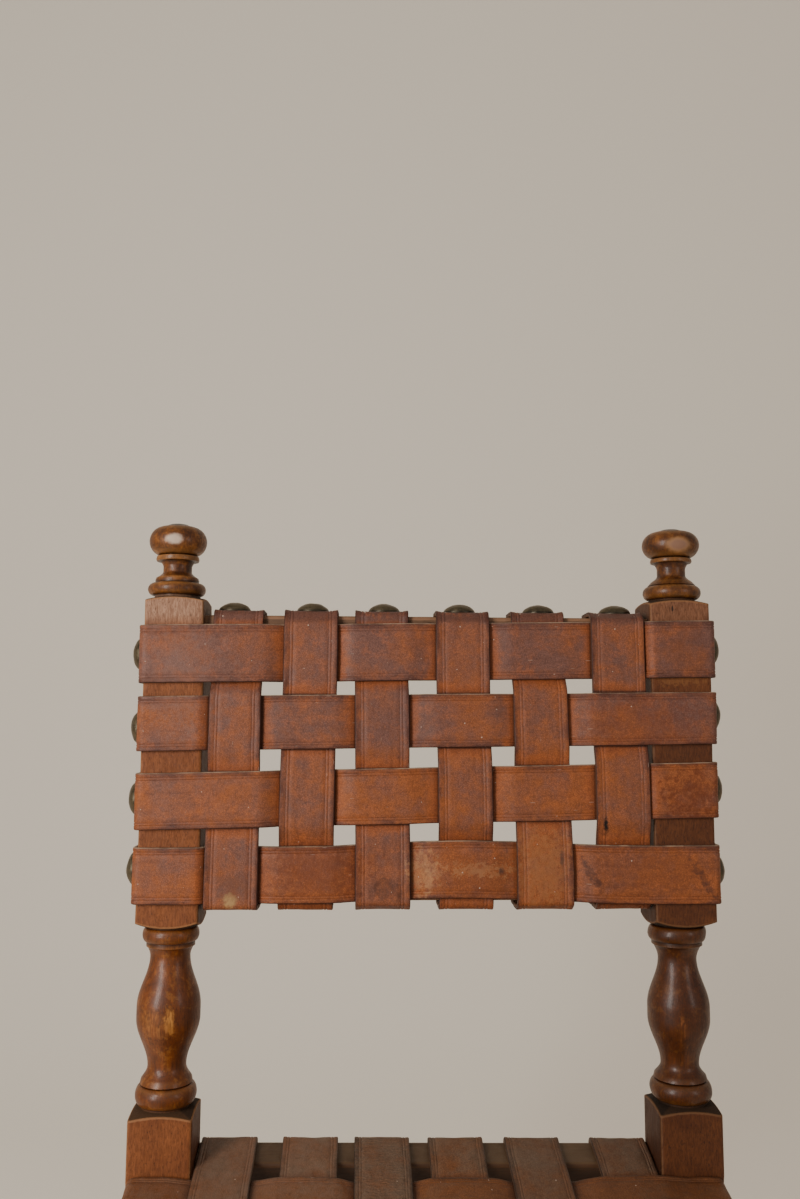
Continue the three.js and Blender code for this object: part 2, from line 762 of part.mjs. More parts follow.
// The front stretcher is turned from end to end, with a round tenon at each end
function frontStretcher() {
  const half = innerX - fitGap;
  const ends = pegOutline(half + tenonDepth, roundTenonRadius);
  const steps = [-half, half].map((place) => new THREE.Vector2(roundTenonRadius, place));
  const body = outlinePoints(stretcherShares, -half, 2 * half);
  return acrossTurning([...ends.slice(0, 2), steps[0], ...body, steps[1], ...ends.slice(2)]);
}

// An upright strap of the back: behind and under the bottom rail, up through the cross
// straps and over the top rail
function uprightStrap(upright) {
  const face = backRailThickness / 2;
  const guides = [
    guide(bottomRailBottom + bottomWrap, -face - layerRise),
    edgeGuide(bottomRailBottom, -face, -1, -1),
    edgeGuide(bottomRailBottom, face, -1, 1),
  ];
  for (let row = rowPlaces.length - 1; row >= 0; row--) {
    const height = rowHeight(row, uprightX(upright, rowPlaces[row]));
    const over = (row + upright) % 2 === 1;
    guides.push(...crossingGuides(height, weaveOut(row, upright), over));
  }
  guides.push(edgeGuide(topRailTop, face, 1, 1));
  guides.push(guide(topRailTop + layerRise, face - topWrap));
  const place = ({ x: height, y: out }, off) => [uprightX(upright, height) + off, -out, height];
  const holes = [nailHole(topNailPoint(upright), "up"), nailHole(rearNailPoint(upright), "rear")];
  return subtractAll(strap(guides, place), holes);
}

// A cross strap of the back: round both posts and through the uprights
function rowStrap(row) {
  const guides = [
    guide(-outerX - layerRise, halfPost - sideWrap),
    edgeGuide(-outerX, halfPost, -1, 1),
    edgeGuide(-innerX, halfPost, 1, 1),
  ];
  uprightPlaces.forEach((_, upright) => {
    const middle = uprightX(upright, rowPlaces[row]);
    const over = (row + upright) % 2 === 0;
    guides.push(...crossingGuides(middle, weaveOut(row, upright), over));
  });
  guides.push(edgeGuide(innerX, halfPost, -1, 1));
  guides.push(edgeGuide(outerX, halfPost, 1, 1));
  guides.push(guide(outerX + layerRise, halfPost - sideWrap));
  const place = ({ x, y: out }, off) => [x, -out, rowHeight(row, x) + off];
  const holes = [nailHole(sideNailPoint(row, -1), "left"), nailHole(sideNailPoint(row, 1), "right")];
  return subtractAll(strap(guides, place), holes);
}

// The guides of a seat strap over the two rails that carry it
function seatGuides(low, high, crossings) {
  const inLow = low + seatRailThickness;
  const inHigh = high - seatRailThickness;
  return [
    guide(low - layerRise, seatRailTop - seatWrap),
    edgeGuide(low, seatRailTop, -1, 1),
    edgeGuide(inLow, seatRailTop, 1, 1),
    ...crossings,
    edgeGuide(inHigh, seatRailTop, -1, 1),
    edgeGuide(high, seatRailTop, 1, 1),
    guide(high + layerRise, seatRailTop - seatWrap),
  ];
}

// Seat straps carry their nails, driven into the rails' outer faces
function withSeatNails(solid, places) {
  return places.reduce((joined, [point, way]) => {
    const nail = geometryFrom(nailSolid()).applyMatrix4(nailMatrix(point, way, layerRise));
    return joined.add(solidFrom(nail));
  }, solid);
}

function longStrap(index) {
  const x = longPlaces[index];
  const front = frontRailY - seatRailThickness / 2;
  const rear = rearRailY + seatRailThickness / 2;
  const crossings = crossPlaces.map((y, cross) =>
    crossingGuides(y, seatRailTop + layerRise, (index + cross) % 2 === 0),
  );
  const guides = seatGuides(front, rear, crossings.reverse().flat());
  const place = ({ x: y, y: z }, off) => [x + off, y, z - seatHang(x + off, y)];
  const nailZ = seatRailTop - seatNailDrop;
  return withSeatNails(strap(guides, place), [
    [[x, front, nailZ], "front"],
    [[x, rear, nailZ], "rear"],
  ]);
}

function crossStrap(index) {
  const y = crossPlaces[index];
  const face = sideRailX + seatRailThickness / 2;
  const crossings = longPlaces.map((x, long) =>
    crossingGuides(x, seatRailTop + layerRise, (index + long) % 2 === 1),
  );
  const guides = seatGuides(-face, face, crossings.flat());
  const place = ({ x, y: z }, off) => [x, y + off, z - seatHang(x, y + off)];
  const nailZ = seatRailTop - seatNailDrop;
  return withSeatNails(strap(guides, place), [
    [[-face, y, nailZ], "left"],
    [[face, y, nailZ], "right"],
  ]);
}

// Colours and finishes read from the photograph
const finishes = {
  wood: { color: 0x8a4e2b, roughness: 0.42, metalness: 0 },
  paleWood: { color: 0x9a7048, roughness: 0.6, metalness: 0 },
  backLeather: { color: 0x8f4529, roughness: 0.48, metalness: 0 },
  seatLeather: { color: 0x6b4130, roughness: 0.55, metalness: 0 },
  nail: { color: 0x4d4435, roughness: 0.4, metalness: 0.85 },
};

function piece(name, solid, finish) {
  const mesh = new THREE.Mesh(geometryFrom(solid), new THREE.MeshStandardMaterial(finishes[finish]));
  mesh.name = name;
  return mesh;
}

function nailPiece(name, geometry, point, way) {
  const mesh = new THREE.Mesh(geometry, new THREE.MeshStandardMaterial(finishes.nail));
  mesh.name = name;
  mesh.applyMatrix4(nailMatrix(point, way, strapThickness + 2 * fitGap));
  return mesh;
}

// The frame that stands on the floor
function standingFrame() {
  const group = new THREE.Group();
  for (const [word, side] of [
    ["left", -1],
    ["right", 1],
  ]) {
    group.add(piece(`back_post_${word}`, backPost(side), "wood"));
    group.add(piece(`front_leg_${word}`, frontLeg(side), "wood"));
    group.add(piece(`seat_rail_${word}`, sideSeatRail(side), "paleWood"));
    group.add(piece(`stretcher_${word}`, sideStretcher(side), "wood"));
  }
  const rearFace = rearRailY + seatRailThickness / 2;
  const frontFace = frontRailY - seatRailThickness / 2;
  group.add(piece("seat_rail_rear", crossSeatRail(rearRailY, "rear", rearFace), "paleWood"));
  group.add(piece("seat_rail_front", crossSeatRail(frontRailY, "front", frontFace), "paleWood"));
  group.add(piece("stretcher_rear", rearStretcher(), "wood"));
  group.add(piece("stretcher_front", frontStretcher(), "wood"));
  return group;
}

function wovenSeat() {
  const group = new THREE.Group();
  longPlaces.forEach((_, index) => {
    group.add(piece(`seat_strap_long_${index + 1}`, longStrap(index), "seatLeather"));
  });
  crossPlaces.forEach((_, index) => {
    group.add(piece(`seat_strap_cross_${index + 1}`, crossStrap(index), "seatLeather"));
  });
  return group;
}

// The woven back, built upright and then leaned back about the bend
function wovenBack() {
  const group = new THREE.Group();
  const topHoles = uprightPlaces.map((_, upright) => nailHole(topNailPoint(upright), "up"));
  const rearHoles = uprightPlaces.map((_, upright) => nailHole(rearNailPoint(upright), "rear"));
  group.add(piece("back_rail_top", backRail(topRailTop - backRailHeight, topHoles), "paleWood"));
  group.add(piece("back_rail_bottom", backRail(bottomRailBottom, rearHoles), "paleWood"));
  const nail = geometryFrom(nailSolid());
  uprightPlaces.forEach((_, upright) => {
    const number = upright + 1;
    group.add(piece(`back_strap_upright_${number}`, uprightStrap(upright), "backLeather"));
    group.add(nailPiece(`back_nail_top_${number}`, nail, topNailPoint(upright), "up"));
    group.add(nailPiece(`back_nail_rear_${number}`, nail, rearNailPoint(upright), "rear"));
  });
  rowPlaces.forEach((_, row) => {
    const number = row + 1;
    group.add(piece(`back_strap_cross_${number}`, rowStrap(row), "backLeather"));
    group.add(nailPiece(`back_nail_left_${number}`, nail, sideNailPoint(row, -1), "left"));
    group.add(nailPiece(`back_nail_right_${number}`, nail, sideNailPoint(row, 1), "right"));
  });
  group.applyMatrix4(rakeMatrix);
  return group;
}

// The whole chair, moved so that its origin is on the floor under the middle of its box
const chair = new THREE.Group();
chair.add(standingFrame(), wovenSeat(), wovenBack());
const bounds = new THREE.Box3().setFromObject(chair, true);
const middle = bounds.getCenter(new THREE.Vector3());
chair.position.set(-middle.x, -middle.y, -bounds.min.z);

export default chair;
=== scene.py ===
# %% [markdown]
# # A side chair with a woven leather back
# The chair is built the old Spanish colonial way: hardwood posts that are square where a joint
# comes in and turned between, and leather straps woven into a seat and a back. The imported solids
# are the frame that everything is fitted to, so the first step loads them.

import math

import bmesh
import bpy
import numpy as np
from mathutils import Matrix, Vector


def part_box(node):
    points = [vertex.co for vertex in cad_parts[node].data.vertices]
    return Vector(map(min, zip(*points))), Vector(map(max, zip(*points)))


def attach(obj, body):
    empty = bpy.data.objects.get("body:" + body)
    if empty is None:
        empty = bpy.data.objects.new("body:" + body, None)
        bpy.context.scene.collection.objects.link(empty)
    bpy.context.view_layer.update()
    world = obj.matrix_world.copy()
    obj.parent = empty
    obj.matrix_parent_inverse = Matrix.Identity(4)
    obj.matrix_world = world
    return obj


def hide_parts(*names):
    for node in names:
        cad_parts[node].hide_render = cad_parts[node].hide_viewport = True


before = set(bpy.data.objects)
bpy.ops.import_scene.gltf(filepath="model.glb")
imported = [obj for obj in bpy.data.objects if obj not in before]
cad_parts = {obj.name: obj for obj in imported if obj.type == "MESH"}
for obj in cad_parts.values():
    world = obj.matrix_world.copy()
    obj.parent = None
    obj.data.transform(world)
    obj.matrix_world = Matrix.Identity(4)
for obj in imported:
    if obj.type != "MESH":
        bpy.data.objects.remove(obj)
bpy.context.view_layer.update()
print("solids in the frame:", len(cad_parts))

# %% [markdown]
# ## The chair's own measures
# A maker thinks of this chair in a few sizes, given here in millimetres: the square blank of the
# posts, the levels where turning starts and stops, the width of the straps and the gaps between
# them. Blender works in metres, so each mesh is scaled when it is made.

# %% Sizes in millimetres
MM = 0.001
POST_SIDE = 48
SEAT_HEIGHT = 445
FIT_GAP = 0.3
RAKE = math.radians(12)
BEND_HEIGHT = SEAT_HEIGHT - 5.2
LOWER_BLOCK = 43
BALUSTER = 136
FINIAL = 61.5
KNEE_HEIGHT = 366
FOOT_KICK = 34
FOOT_DEPTH = 42
TURNED_FOOT = 92
STRETCHER_BLOCK = 96
FRONT_TURNING = 184
FRONT_TOP_RISE = 3
FRONT_TOP_DOME = 4
LOW_SHOULDER_DROP = 3
HIGH_SHOULDER_DROP = 4.2
BACK_RAIL_HEIGHT = 40
BACK_RAIL_THICKNESS = 30
TOP_RAIL_DROP = 14
BOTTOM_RAIL_RISE = 19
SEAT_RAIL_HEIGHT = 60
SEAT_RAIL_THICKNESS = 29
SEAT_RAIL_INSET = 5.5
STRETCHER_HEIGHT = 34
STRETCHER_WIDTH = 22
SIDE_STRETCHER_LEVEL = 118
CROSS_STRETCHER_LEVEL = 159
STRAP_WIDTH = 42.5
STRAP_THICKNESS = 3.5
BACK_SIDE_MARGIN = 6.5
ROW_TOP_MARGIN = 6.6
SEAT_SIDE_MARGIN = 3
SEAT_END_MARGIN = 2
UPRIGHT_GAP = 16.8
ROW_GAP = 15
CROSS_GAP = 15

UPRIGHT_OFFSETS = (-0.095, -0.24, -0.44, -0.145, -0.085, 0.095)
UPRIGHT_LEANS = (0, -0.1, 0.125, 0.155, 0.215, 0)
ROW_OFFSETS = (0, 0.14, 0.15, 0)
ROW_RISES = (0.41, 0.37, 0.59, 0.05)
UPRIGHT_SHIFTS = ((-1.6, -0.5), (0, 0), (0, 0), (0, 0), (0, 0), (2.8, 0.8))
UPRIGHT_WIDTHS = ((0.97, 0.93), (1, 1), (1, 1), (1, 1), (1.04, 1), (1, 1))
ROW_LIFTS = (-0.8, 0.3, 0, -0.5)
ROW_HUMPS = (0, 0, 0, 4)
HUMP_PLACE, HUMP_SPREAD = 26, 66
ROW_WIDTHS = ((1.07, 1.07), (1, 0.965), (1.012, 1.012), (1, 1.05))
SEAT_WIDTH = 1.012
LONG_OFFSETS = (-0.045, 0.085, -0.18, -0.345, -0.36, 0.07)
CROSS_OFFSETS = (0, 0.05, -0.06, 0.04, -0.03, 0)
TOP_NAIL_OFFSETS = (-0.12, 0.01, 0.05, -0.02, 0.085, 0.075)


def weave_room(straps, gap):
    return straps * STRAP_WIDTH + (straps - 1) * gap


HALF_POST = POST_SIDE / 2
HALF_STRAP = STRAP_WIDTH / 2
LAYER = FIT_GAP + STRAP_THICKNESS / 2
WEAVE_STEP = (STRAP_THICKNESS + FIT_GAP) / 2
POST_X = (weave_room(len(UPRIGHT_OFFSETS), UPRIGHT_GAP) + 2 * BACK_SIDE_MARGIN + POST_SIDE) / 2
INNER_X = POST_X - HALF_POST
OUTER_X = POST_X + HALF_POST
FRONT_Y = -(weave_room(len(CROSS_OFFSETS), CROSS_GAP) + 2 * SEAT_END_MARGIN + POST_SIDE)
UPPER_BLOCK = TOP_RAIL_DROP + ROW_TOP_MARGIN + weave_room(len(ROW_OFFSETS), ROW_GAP) + BOTTOM_RAIL_RISE
UPPER_BLOCK_BOTTOM = LOWER_BLOCK + BALUSTER
UPPER_BLOCK_TOP = UPPER_BLOCK_BOTTOM + UPPER_BLOCK
TOP_RAIL_TOP = UPPER_BLOCK_TOP - TOP_RAIL_DROP
BOTTOM_RAIL_BOTTOM = UPPER_BLOCK_BOTTOM + BOTTOM_RAIL_RISE
SEAT_RAIL_TOP = SEAT_HEIGHT - STRAP_THICKNESS - FIT_GAP
SEAT_RAIL_MIDDLE = SEAT_RAIL_TOP - SEAT_RAIL_HEIGHT / 2
SIDE_RAIL_X = OUTER_X - SEAT_RAIL_INSET - SEAT_RAIL_THICKNESS / 2
REAR_RAIL_Y = HALF_POST - SEAT_RAIL_THICKNESS / 2
FRONT_RAIL_Y = FRONT_Y - HALF_POST + SEAT_RAIL_INSET + SEAT_RAIL_THICKNESS / 2

rail_low, rail_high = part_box("seat_rail_rear")
CHAIR_Y = (rail_low.y + rail_high.y) / 2 / MM - REAR_RAIL_Y
print("the posts' axes stand", round(CHAIR_Y, 2), "mm behind the middle of the chair")

# %% [markdown]
# ## Two ways to say where a point is
# The legs and the seat stand square on the floor, and the back leans. So a point of the seat is
# given as x, depth and height from the foot of the posts' axes, and a point of the back as x, how
# far it lies behind the leaning axis, and how far up that axis it is. The turned parts of the two
# posts don't run quite true, so each row of the table says how far a post's faces stand off at
# one height: left outer, left inner, right inner, right outer.

# %% Places on the chair and on its back
def seat_point(x, depth, height):
    """Points of the upright frame as rows of x, y and z in millimetres."""
    x, depth, height = np.broadcast_arrays(x, depth, height)
    return np.stack([x, depth + CHAIR_Y, height], axis=-1).astype(float)


POST_DRIFTS = (
    (43, 0, 0, 0, 0), (55, 0.3, 0.3, -1.2, -1.2), (170, 0.7, 0.7, -1.2, -1.2), (182, 0.8, 0.5, 0.3, 0.4),
    (250, 1.3, 0.7, 0.4, 0.4), (305, 1.1, 0, 0.6, 0.6), (363, 1.1, 0, 1.2, 1.4), (430, 0.5, -1.5, 1.1, 1.2),
    (437, -2.6, -2.6, 2, 2),
)
DRIFT_FADE = 20


def drifted(x, up):
    """Moves points near a post with it. The weave's middle stays where it is."""
    heights, left_outer, left_inner, right_inner, right_outer = np.array(POST_DRIFTS).T
    moved = x
    for side, inner, outer in ((-1, left_inner, left_outer), (1, right_inner, right_outer)):
        beyond = side * x - INNER_X
        reach = np.clip(beyond / DRIFT_FADE + 1, 0, 1)
        across = np.clip(beyond / POST_SIDE, 0, 1)
        inner_shift, outer_shift = np.interp(up, heights, inner), np.interp(up, heights, outer)
        moved = moved + reach * (inner_shift + (outer_shift - inner_shift) * across)
    return moved


def back_point(x, behind, up):
    """Points of the leaning back as rows of x, y and z in millimetres."""
    x, behind, up = np.broadcast_arrays(x, behind, up)
    x = drifted(x, up)
    depth = behind * math.cos(RAKE) + up * math.sin(RAKE)
    height = up * math.cos(RAKE) - behind * math.sin(RAKE) + BEND_HEIGHT
    return seat_point(x, depth, height)


print("top of the posts:", np.round(back_point(POST_X, 0, UPPER_BLOCK_TOP + FINIAL), 1))

# %% [markdown]
# ## The camera
# A camera is fitted to a photograph by its focal length in picture pixels, its place and its
# turns. This one stands just in front of the back at the height of the finials and looks a
# little down, so the back fills the lower half of the picture and the seat is cut off.

# %% The camera at the photograph's place
PHOTO_HEIGHT_PIXELS = 1199
FOCAL_PIXELS = 1050
CAMERA_PLACE = (-0.05425, -0.6177, 0.9430)
CAMERA_DOWN = math.radians(5.21)
CAMERA_RIGHT = math.radians(2.17)
CAMERA_ROLL = math.radians(0.71)


def put_in_scene(name, data):
    """Makes an object of a mesh, lamp or camera and links it to the scene."""
    thing = bpy.data.objects.new(name, data)
    bpy.context.scene.collection.objects.link(thing)
    return thing


camera_data = bpy.data.cameras.new("camera")
camera_data.sensor_width = 36
camera_data.lens = camera_data.sensor_width * FOCAL_PIXELS / PHOTO_HEIGHT_PIXELS
camera_data.clip_start = 0.05
camera = put_in_scene("camera", camera_data)
camera.matrix_world = (
    Matrix.Translation(CAMERA_PLACE)
    @ Matrix.Rotation(-CAMERA_RIGHT, 4, "Z")
    @ Matrix.Rotation(math.pi / 2 - CAMERA_DOWN, 4, "X")
    @ Matrix.Rotation(CAMERA_ROLL, 4, "Z")
)
bpy.context.scene.camera = camera
print("lens:", round(camera_data.lens, 2), "mm")

# %% [markdown]
# ## Small helpers for node trees
# Materials and geometry trees are built by the same few moves: add a node, give its inputs a
# number or a link, and pass its output on. An output is wrapped here as a Value, so that plain
# arithmetic such as streaks * 0.5 + 0.1 adds the Math nodes for it. These helpers keep each
# later tree short.

# %% Values and nodes
class Value:
    """An output of a node. Arithmetic on it adds a Math or Vector Math node to its tree."""

    def __init__(self, socket):
        self.socket, self.tree = socket, socket.id_data

    def __add__(self, other):
        return combined("ADD", self, other)

    def __sub__(self, other):
        return combined("SUBTRACT", self, other)

    def __rsub__(self, other):
        return combined("SUBTRACT", other, self)

    def __mul__(self, other):
        return combined("MULTIPLY", self, other)

    def __truediv__(self, other):
        return combined("DIVIDE", self, other)

    def __rtruediv__(self, other):
        return combined("DIVIDE", other, self)

    def clamped(self):
        """Keeps the sum that made this value between 0 and 1."""
        self.socket.node.use_clamp = True
        return self


def is_vector(part):
    """True for an output that carries a vector or a colour, and for three numbers."""
    return part.socket.type in ("VECTOR", "RGBA") if isinstance(part, Value) else isinstance(part, tuple)


def combined(operation, first, second):
    """Numbers meet in a Math node, vectors in a Vector Math node, and a number scales a vector."""
    tree = (first if isinstance(first, Value) else second).tree
    if not is_vector(first):
        return add_node(tree, "ShaderNodeMath", first, second, operation=operation)
    if is_vector(second):
        return add_node(tree, "ShaderNodeVectorMath", first, second, operation=operation)
    return add_node(tree, "ShaderNodeVectorMath", first, None, None, second, operation="SCALE")


def feed(socket, value):
    """Links a value to an input, or sets the input. None leaves it alone."""
    if isinstance(value, Value):
        value.tree.links.new(value.socket, socket)
    elif value is not None:
        opaque = socket.type == "RGBA" and len(value) == 3
        socket.default_value = (*value, 1) if opaque else value


def add_node(tree, kind, *inputs, out=0, **settings):
    """Adds a node, sets or links its inputs in order, and returns one output."""
    node = tree.nodes.new(kind)
    for key, value in settings.items():
        setattr(node, key, value)
    for socket, value in zip(node.inputs, inputs):
        feed(socket, value)
    return Value(node.outputs[out])


def set_inputs(node, **values):
    """Sets or links inputs by name. Spaces in a socket's name are written as _ here."""
    for key, value in values.items():
        feed(node.inputs[key.replace("_", " ")], value)


def smooth_range(value, low, high, to_low=0.0, to_high=1.0):
    """Maps a value from one range to another with a soft start and end."""
    return add_node(
        value.tree, "ShaderNodeMapRange", value, low, high, to_low, to_high, interpolation_type="SMOOTHSTEP"
    )


def noise(vector, scale, detail=2.0, roughness=0.5, distortion=0.0):
    node = vector.tree.nodes.new("ShaderNodeTexNoise")
    set_inputs(node, Vector=vector, Scale=scale, Detail=detail, Roughness=roughness, Distortion=distortion)
    return Value(node.outputs[0])


print("helpers for nodes are ready")

# %% Colours and groups
def blend(share, first, second):
    """Mixes two colours by a share from 0 to 1."""
    node = share.tree.nodes.new("ShaderNodeMix")
    node.data_type = "RGBA"
    for index, value in ((0, share), (6, first), (7, second)):
        feed(node.inputs[index], value)
    return Value(node.outputs[2])


def layered(colour, *layers):
    """Lays colours over one another. Each layer is (share, colour), from the lowest up."""
    for share, paint in layers:
        colour = blend(share, colour, paint)
    return colour


def tinted(colour, factor):
    return tuple(min(factor * part, 1) for part in colour)


def painted(tree, *names):
    """Reads values that the mesh carries at its points."""
    values = [add_node(tree, "ShaderNodeAttribute", attribute_name=name, out=2) for name in names]
    return values if len(names) > 1 else values[0]


def add_inputs(tree, inputs):
    """Names a tree's inputs, each with its default number or its kind. Returns their identifiers."""
    identifiers = {}
    for name, value in inputs.items():
        kind = {float: "NodeSocketFloat", int: "NodeSocketInt"}.get(type(value), value)
        socket = tree.interface.new_socket(name, in_out="INPUT", socket_type=kind)
        if kind != value:
            socket.default_value = value
        identifiers[name] = socket.identifier
    return identifiers


def new_group(name, inputs, *outputs):
    """A shader node group. Returns it, the values of its inputs, and the node for its outputs."""
    group = bpy.data.node_groups.new(name, "ShaderNodeTree")
    add_inputs(group, inputs)
    for socket_name in outputs:
        group.interface.new_socket(socket_name, in_out="OUTPUT", socket_type="NodeSocketFloat")
    given = group.nodes.new("NodeGroupInput").outputs
    return group, [Value(given[socket_name]) for socket_name in inputs], group.nodes.new("NodeGroupOutput")


def use_group(group, **values):
    """Places a group in the tree of the values that it gets. Returns its output or outputs."""
    tree = next(value.tree for value in values.values() if isinstance(value, Value))
    node = tree.nodes.new("ShaderNodeGroup")
    node.node_tree = group
    set_inputs(node, **values)
    results = [Value(socket) for socket in node.outputs]
    return results if len(results) > 1 else results[0]


def new_material(name):
    """Returns a material, its tree, its shader and the place on the object."""
    material = bpy.data.materials.new(name)
    material.use_nodes = True
    tree = material.node_tree
    return material, tree, tree.nodes["Principled BSDF"], add_node(tree, "ShaderNodeTexCoord", out=3)


def bump(shader, height, distance, strength=0.6):
    """Feeds a height to a shader as bump. The distance is in millimetres."""
    node = height.tree.nodes.new("ShaderNodeBump")
    set_inputs(node, Strength=strength, Distance=distance * MM, Height=height)
    set_inputs(shader, Normal=Value(node.outputs["Normal"]))


VECTOR = "NodeSocketVector"
print("helpers for colours and groups are ready")

# %% [markdown]
# ## Light, floor and backdrop
# The photograph was taken in a room with one large window to the left, so a broad lamp stands
# there, low enough to light upright faces more than level ones. A weak lamp on the right and a
# plain world fill the shadows. Floor and backdrop are one pale sheet with a round bend. The sheet
# glows a little, but only for rays from the camera and for reflections, so that it looks pale
# without more light on the chair.

# %% The stage
BACKDROP_BEHIND = 1.5
BACKDROP_REACH = 5.0
BACKDROP_BEND = 0.6
BEND_STEPS = 12

quarter = [math.pi / 2 * step / BEND_STEPS for step in range(BEND_STEPS + 1)]
stage_outline = [
    (-BACKDROP_REACH, 0.0),
    *(
        (BACKDROP_BEHIND - BACKDROP_BEND * (1 - math.sin(turn)), BACKDROP_BEND * (1 - math.cos(turn)))
        for turn in quarter
    ),
    (BACKDROP_BEHIND, BACKDROP_REACH),
]

stage_mesh = bpy.data.meshes.new("floor_and_backdrop")
stage_mesh.from_pydata(
    [(x, y, z) for y, z in stage_outline for x in (-BACKDROP_REACH, BACKDROP_REACH)],
    [],
    [(2 * i, 2 * i + 1, 2 * i + 3, 2 * i + 2) for i in range(len(stage_outline) - 1)],
)
stage_mesh.shade_smooth()
stage = put_in_scene("floor_and_backdrop", stage_mesh)

stage_paint, tree, stage_shader, _ = new_material("pale_paint")
camera_ray, glossy_ray = (add_node(tree, "ShaderNodeLightPath", out=index) for index in (0, 3))
seen = combined("MAXIMUM", camera_ray, glossy_ray)
set_inputs(
    stage_shader, Base_Color=(0.72, 0.68, 0.61), Roughness=0.9, Emission_Strength=1.0,
    Emission_Color=blend(seen, (0.0, 0.0, 0.0), (0.285, 0.222, 0.155)),
)
stage_mesh.materials.append(stage_paint)
print("corners of the stage:", len(stage_mesh.vertices))

# %% Lamps and the light of the room
BACK_MIDDLE = Vector((0, 0.19, 0.74))


def lamp(name, place, width, height, power, colour):
    """A rectangular lamp that points at the middle of the back. The power is in watts."""
    data = bpy.data.lights.new(name, "AREA")
    data.shape = "RECTANGLE"
    data.size, data.size_y = width, height
    data.energy = power
    data.color = colour
    light = put_in_scene(name, data)
    light.location = place
    light.rotation_euler = (BACK_MIDDLE - Vector(place)).to_track_quat("-Z", "Y").to_euler()


lamp("window", (-0.95, -0.80, 1.15), 0.4, 1.0, 19, (1.0, 0.97, 0.93))
lamp("room", (1.10, -0.85, 1.15), 0.3, 0.7, 3.0, (1.0, 0.96, 0.90))
world = bpy.data.worlds.new("room_light")
world.use_nodes = True
set_inputs(world.node_tree.nodes["Background"], Color=(0.97, 0.96, 0.95), Strength=0.29)
bpy.context.scene.world = world

# %% [markdown]
# ## Effects that several finishes share
# Wood and leather age in the same ways: a blotchy tone, light wear along edges, and small pale
# specks where paint or dust has landed. Each effect is one node group that puts out a mask, so
# that every material can place it with its own sizes.

# %% Blotches
blotches, (place, size, contrast), put = new_group(
    "blotches", {"Place": VECTOR, "Size": 30.0, "Contrast": 1.0}, "Mask"
)
blotch_scale = 1 / MM / size
large = noise(place, blotch_scale, 3.0, 0.55, 0.4)
small = noise(place, blotch_scale * 4.3, 4.0, 0.6)
centred = small * 0.35 + large * 0.65 - 0.5
set_inputs(put, Mask=(centred * (contrast * 3.0) + 0.5).clamped())
print("group:", blotches.name)

# %% Specks
specks, (place, spacing, size, share), put = new_group(
    "specks", {"Place": VECTOR, "Spacing": 9.0, "Size": 0.6, "Share": 0.25}, "Mask"
)
cells = specks.nodes.new("ShaderNodeTexVoronoi")
cells.voronoi_dimensions = "2D"
set_inputs(cells, Vector=place, Scale=1 / MM / spacing)
cell_colour = Value(cells.outputs["Color"])
red, green = (add_node(specks, "ShaderNodeSeparateColor", cell_colour, out=index) for index in (0, 1))
inside = combined("LESS_THAN", Value(cells.outputs["Distance"]), size / spacing * green)
set_inputs(put, Mask=inside * combined("LESS_THAN", red, share))
print("group:", specks.name)

# %% Wear along edges
edge_wear, (place, edge, amount, grain), put = new_group(
    "edge_wear", {"Place": VECTOR, "Edge": 0.0, "Amount": 0.5, "Grain": 6.0}, "Mask"
)
rubbed = noise(place, 1 / MM / grain, 5.0, 0.65)
set_inputs(put, Mask=smooth_range(edge + rubbed - (1.15 - amount), 0.1, 0.65))
print("group:", edge_wear.name)

# %% A patch of wear, stain, painted shade or painted highlight at one place
patch, (place, centre, reach, turn, raggedness), put = new_group(
    "patch", {"Place": VECTOR, "Centre": VECTOR, "Reach": VECTOR, "Turn": 0.0, "Ragged": 0.5}, "Mask"
)
offset = add_node(
    patch, "ShaderNodeVectorRotate", place - centre, None, None, turn, rotation_type="Y_AXIS"
)
distance = add_node(patch, "ShaderNodeVectorMath", offset / reach, operation="LENGTH", out=1)
frays = noise(place, 260.0, 5.0, 0.7) - 0.5
set_inputs(put, Mask=smooth_range(frays * (raggedness * 3.0) + distance, 1.1, 0.45))


def back_spot(x, up):
    """A place on the front of the back, in millimetres, for a patch."""
    return back_point(x, 2 - HALF_POST, up)


def patched(colour, place, patches, share_of):
    """Blends patches over a colour, and returns their strongest share at each point as well.

    Each patch is (centre, reach, turn, colour, share, raggedness) in millimetres. What follows
    goes to share_of together with the share.
    """
    strongest = 0.0
    for centre, reach, turn, paint, share, raggedness, *rest in patches:
        mask = use_group(
            patch, Place=place, Centre=tuple(centre * MM), Reach=[part * MM for part in reach],
            Turn=turn, Ragged=raggedness,
        ) * share_of(share, *rest)
        colour = blend(mask, colour, paint)
        strongest = combined("MAXIMUM", strongest, mask)
    return colour, strongest


print("group:", patch.name)

# %% [markdown]
# ## Wood
# The photograph shows an open-grained brown hardwood under old lacquer. Its figure is made of
# stretched noise: long streaks for the growth rings and short dark dashes for the pores. A
# Mapping node turns the long way of the grain along each piece, so posts and rails share one
# group.

# %% Grain of the wood
def stretched(place, size, stretch, detail):
    """Noise whose grains are longer along Z than across it. The size is in millimetres."""
    return noise(place * (1.0, 1.0, 1.0 / stretch), 1 / MM / size, detail, 0.6, 0.3)


wood_grain, (place, streak, figure_size), put = new_group(
    "wood_grain", {"Place": VECTOR, "Streak": 1.6, "Figure": 18.0}, "Streaks", "Figure", "Pores"
)
phase = stretched(place, figure_size, 7.0, 3.0) * 42.0
rings = add_node(wood_grain, "ShaderNodeMath", phase, operation="SINE")
set_inputs(
    put,
    Streaks=smooth_range(stretched(place, streak, 26.0, 4.0), 0.3, 0.7),
    Figure=rings * 0.5 + 0.5,
    Pores=smooth_range(stretched(place, 0.55, 22.0, 1.0), 0.62, 0.70),
)
print("group:", wood_grain.name)
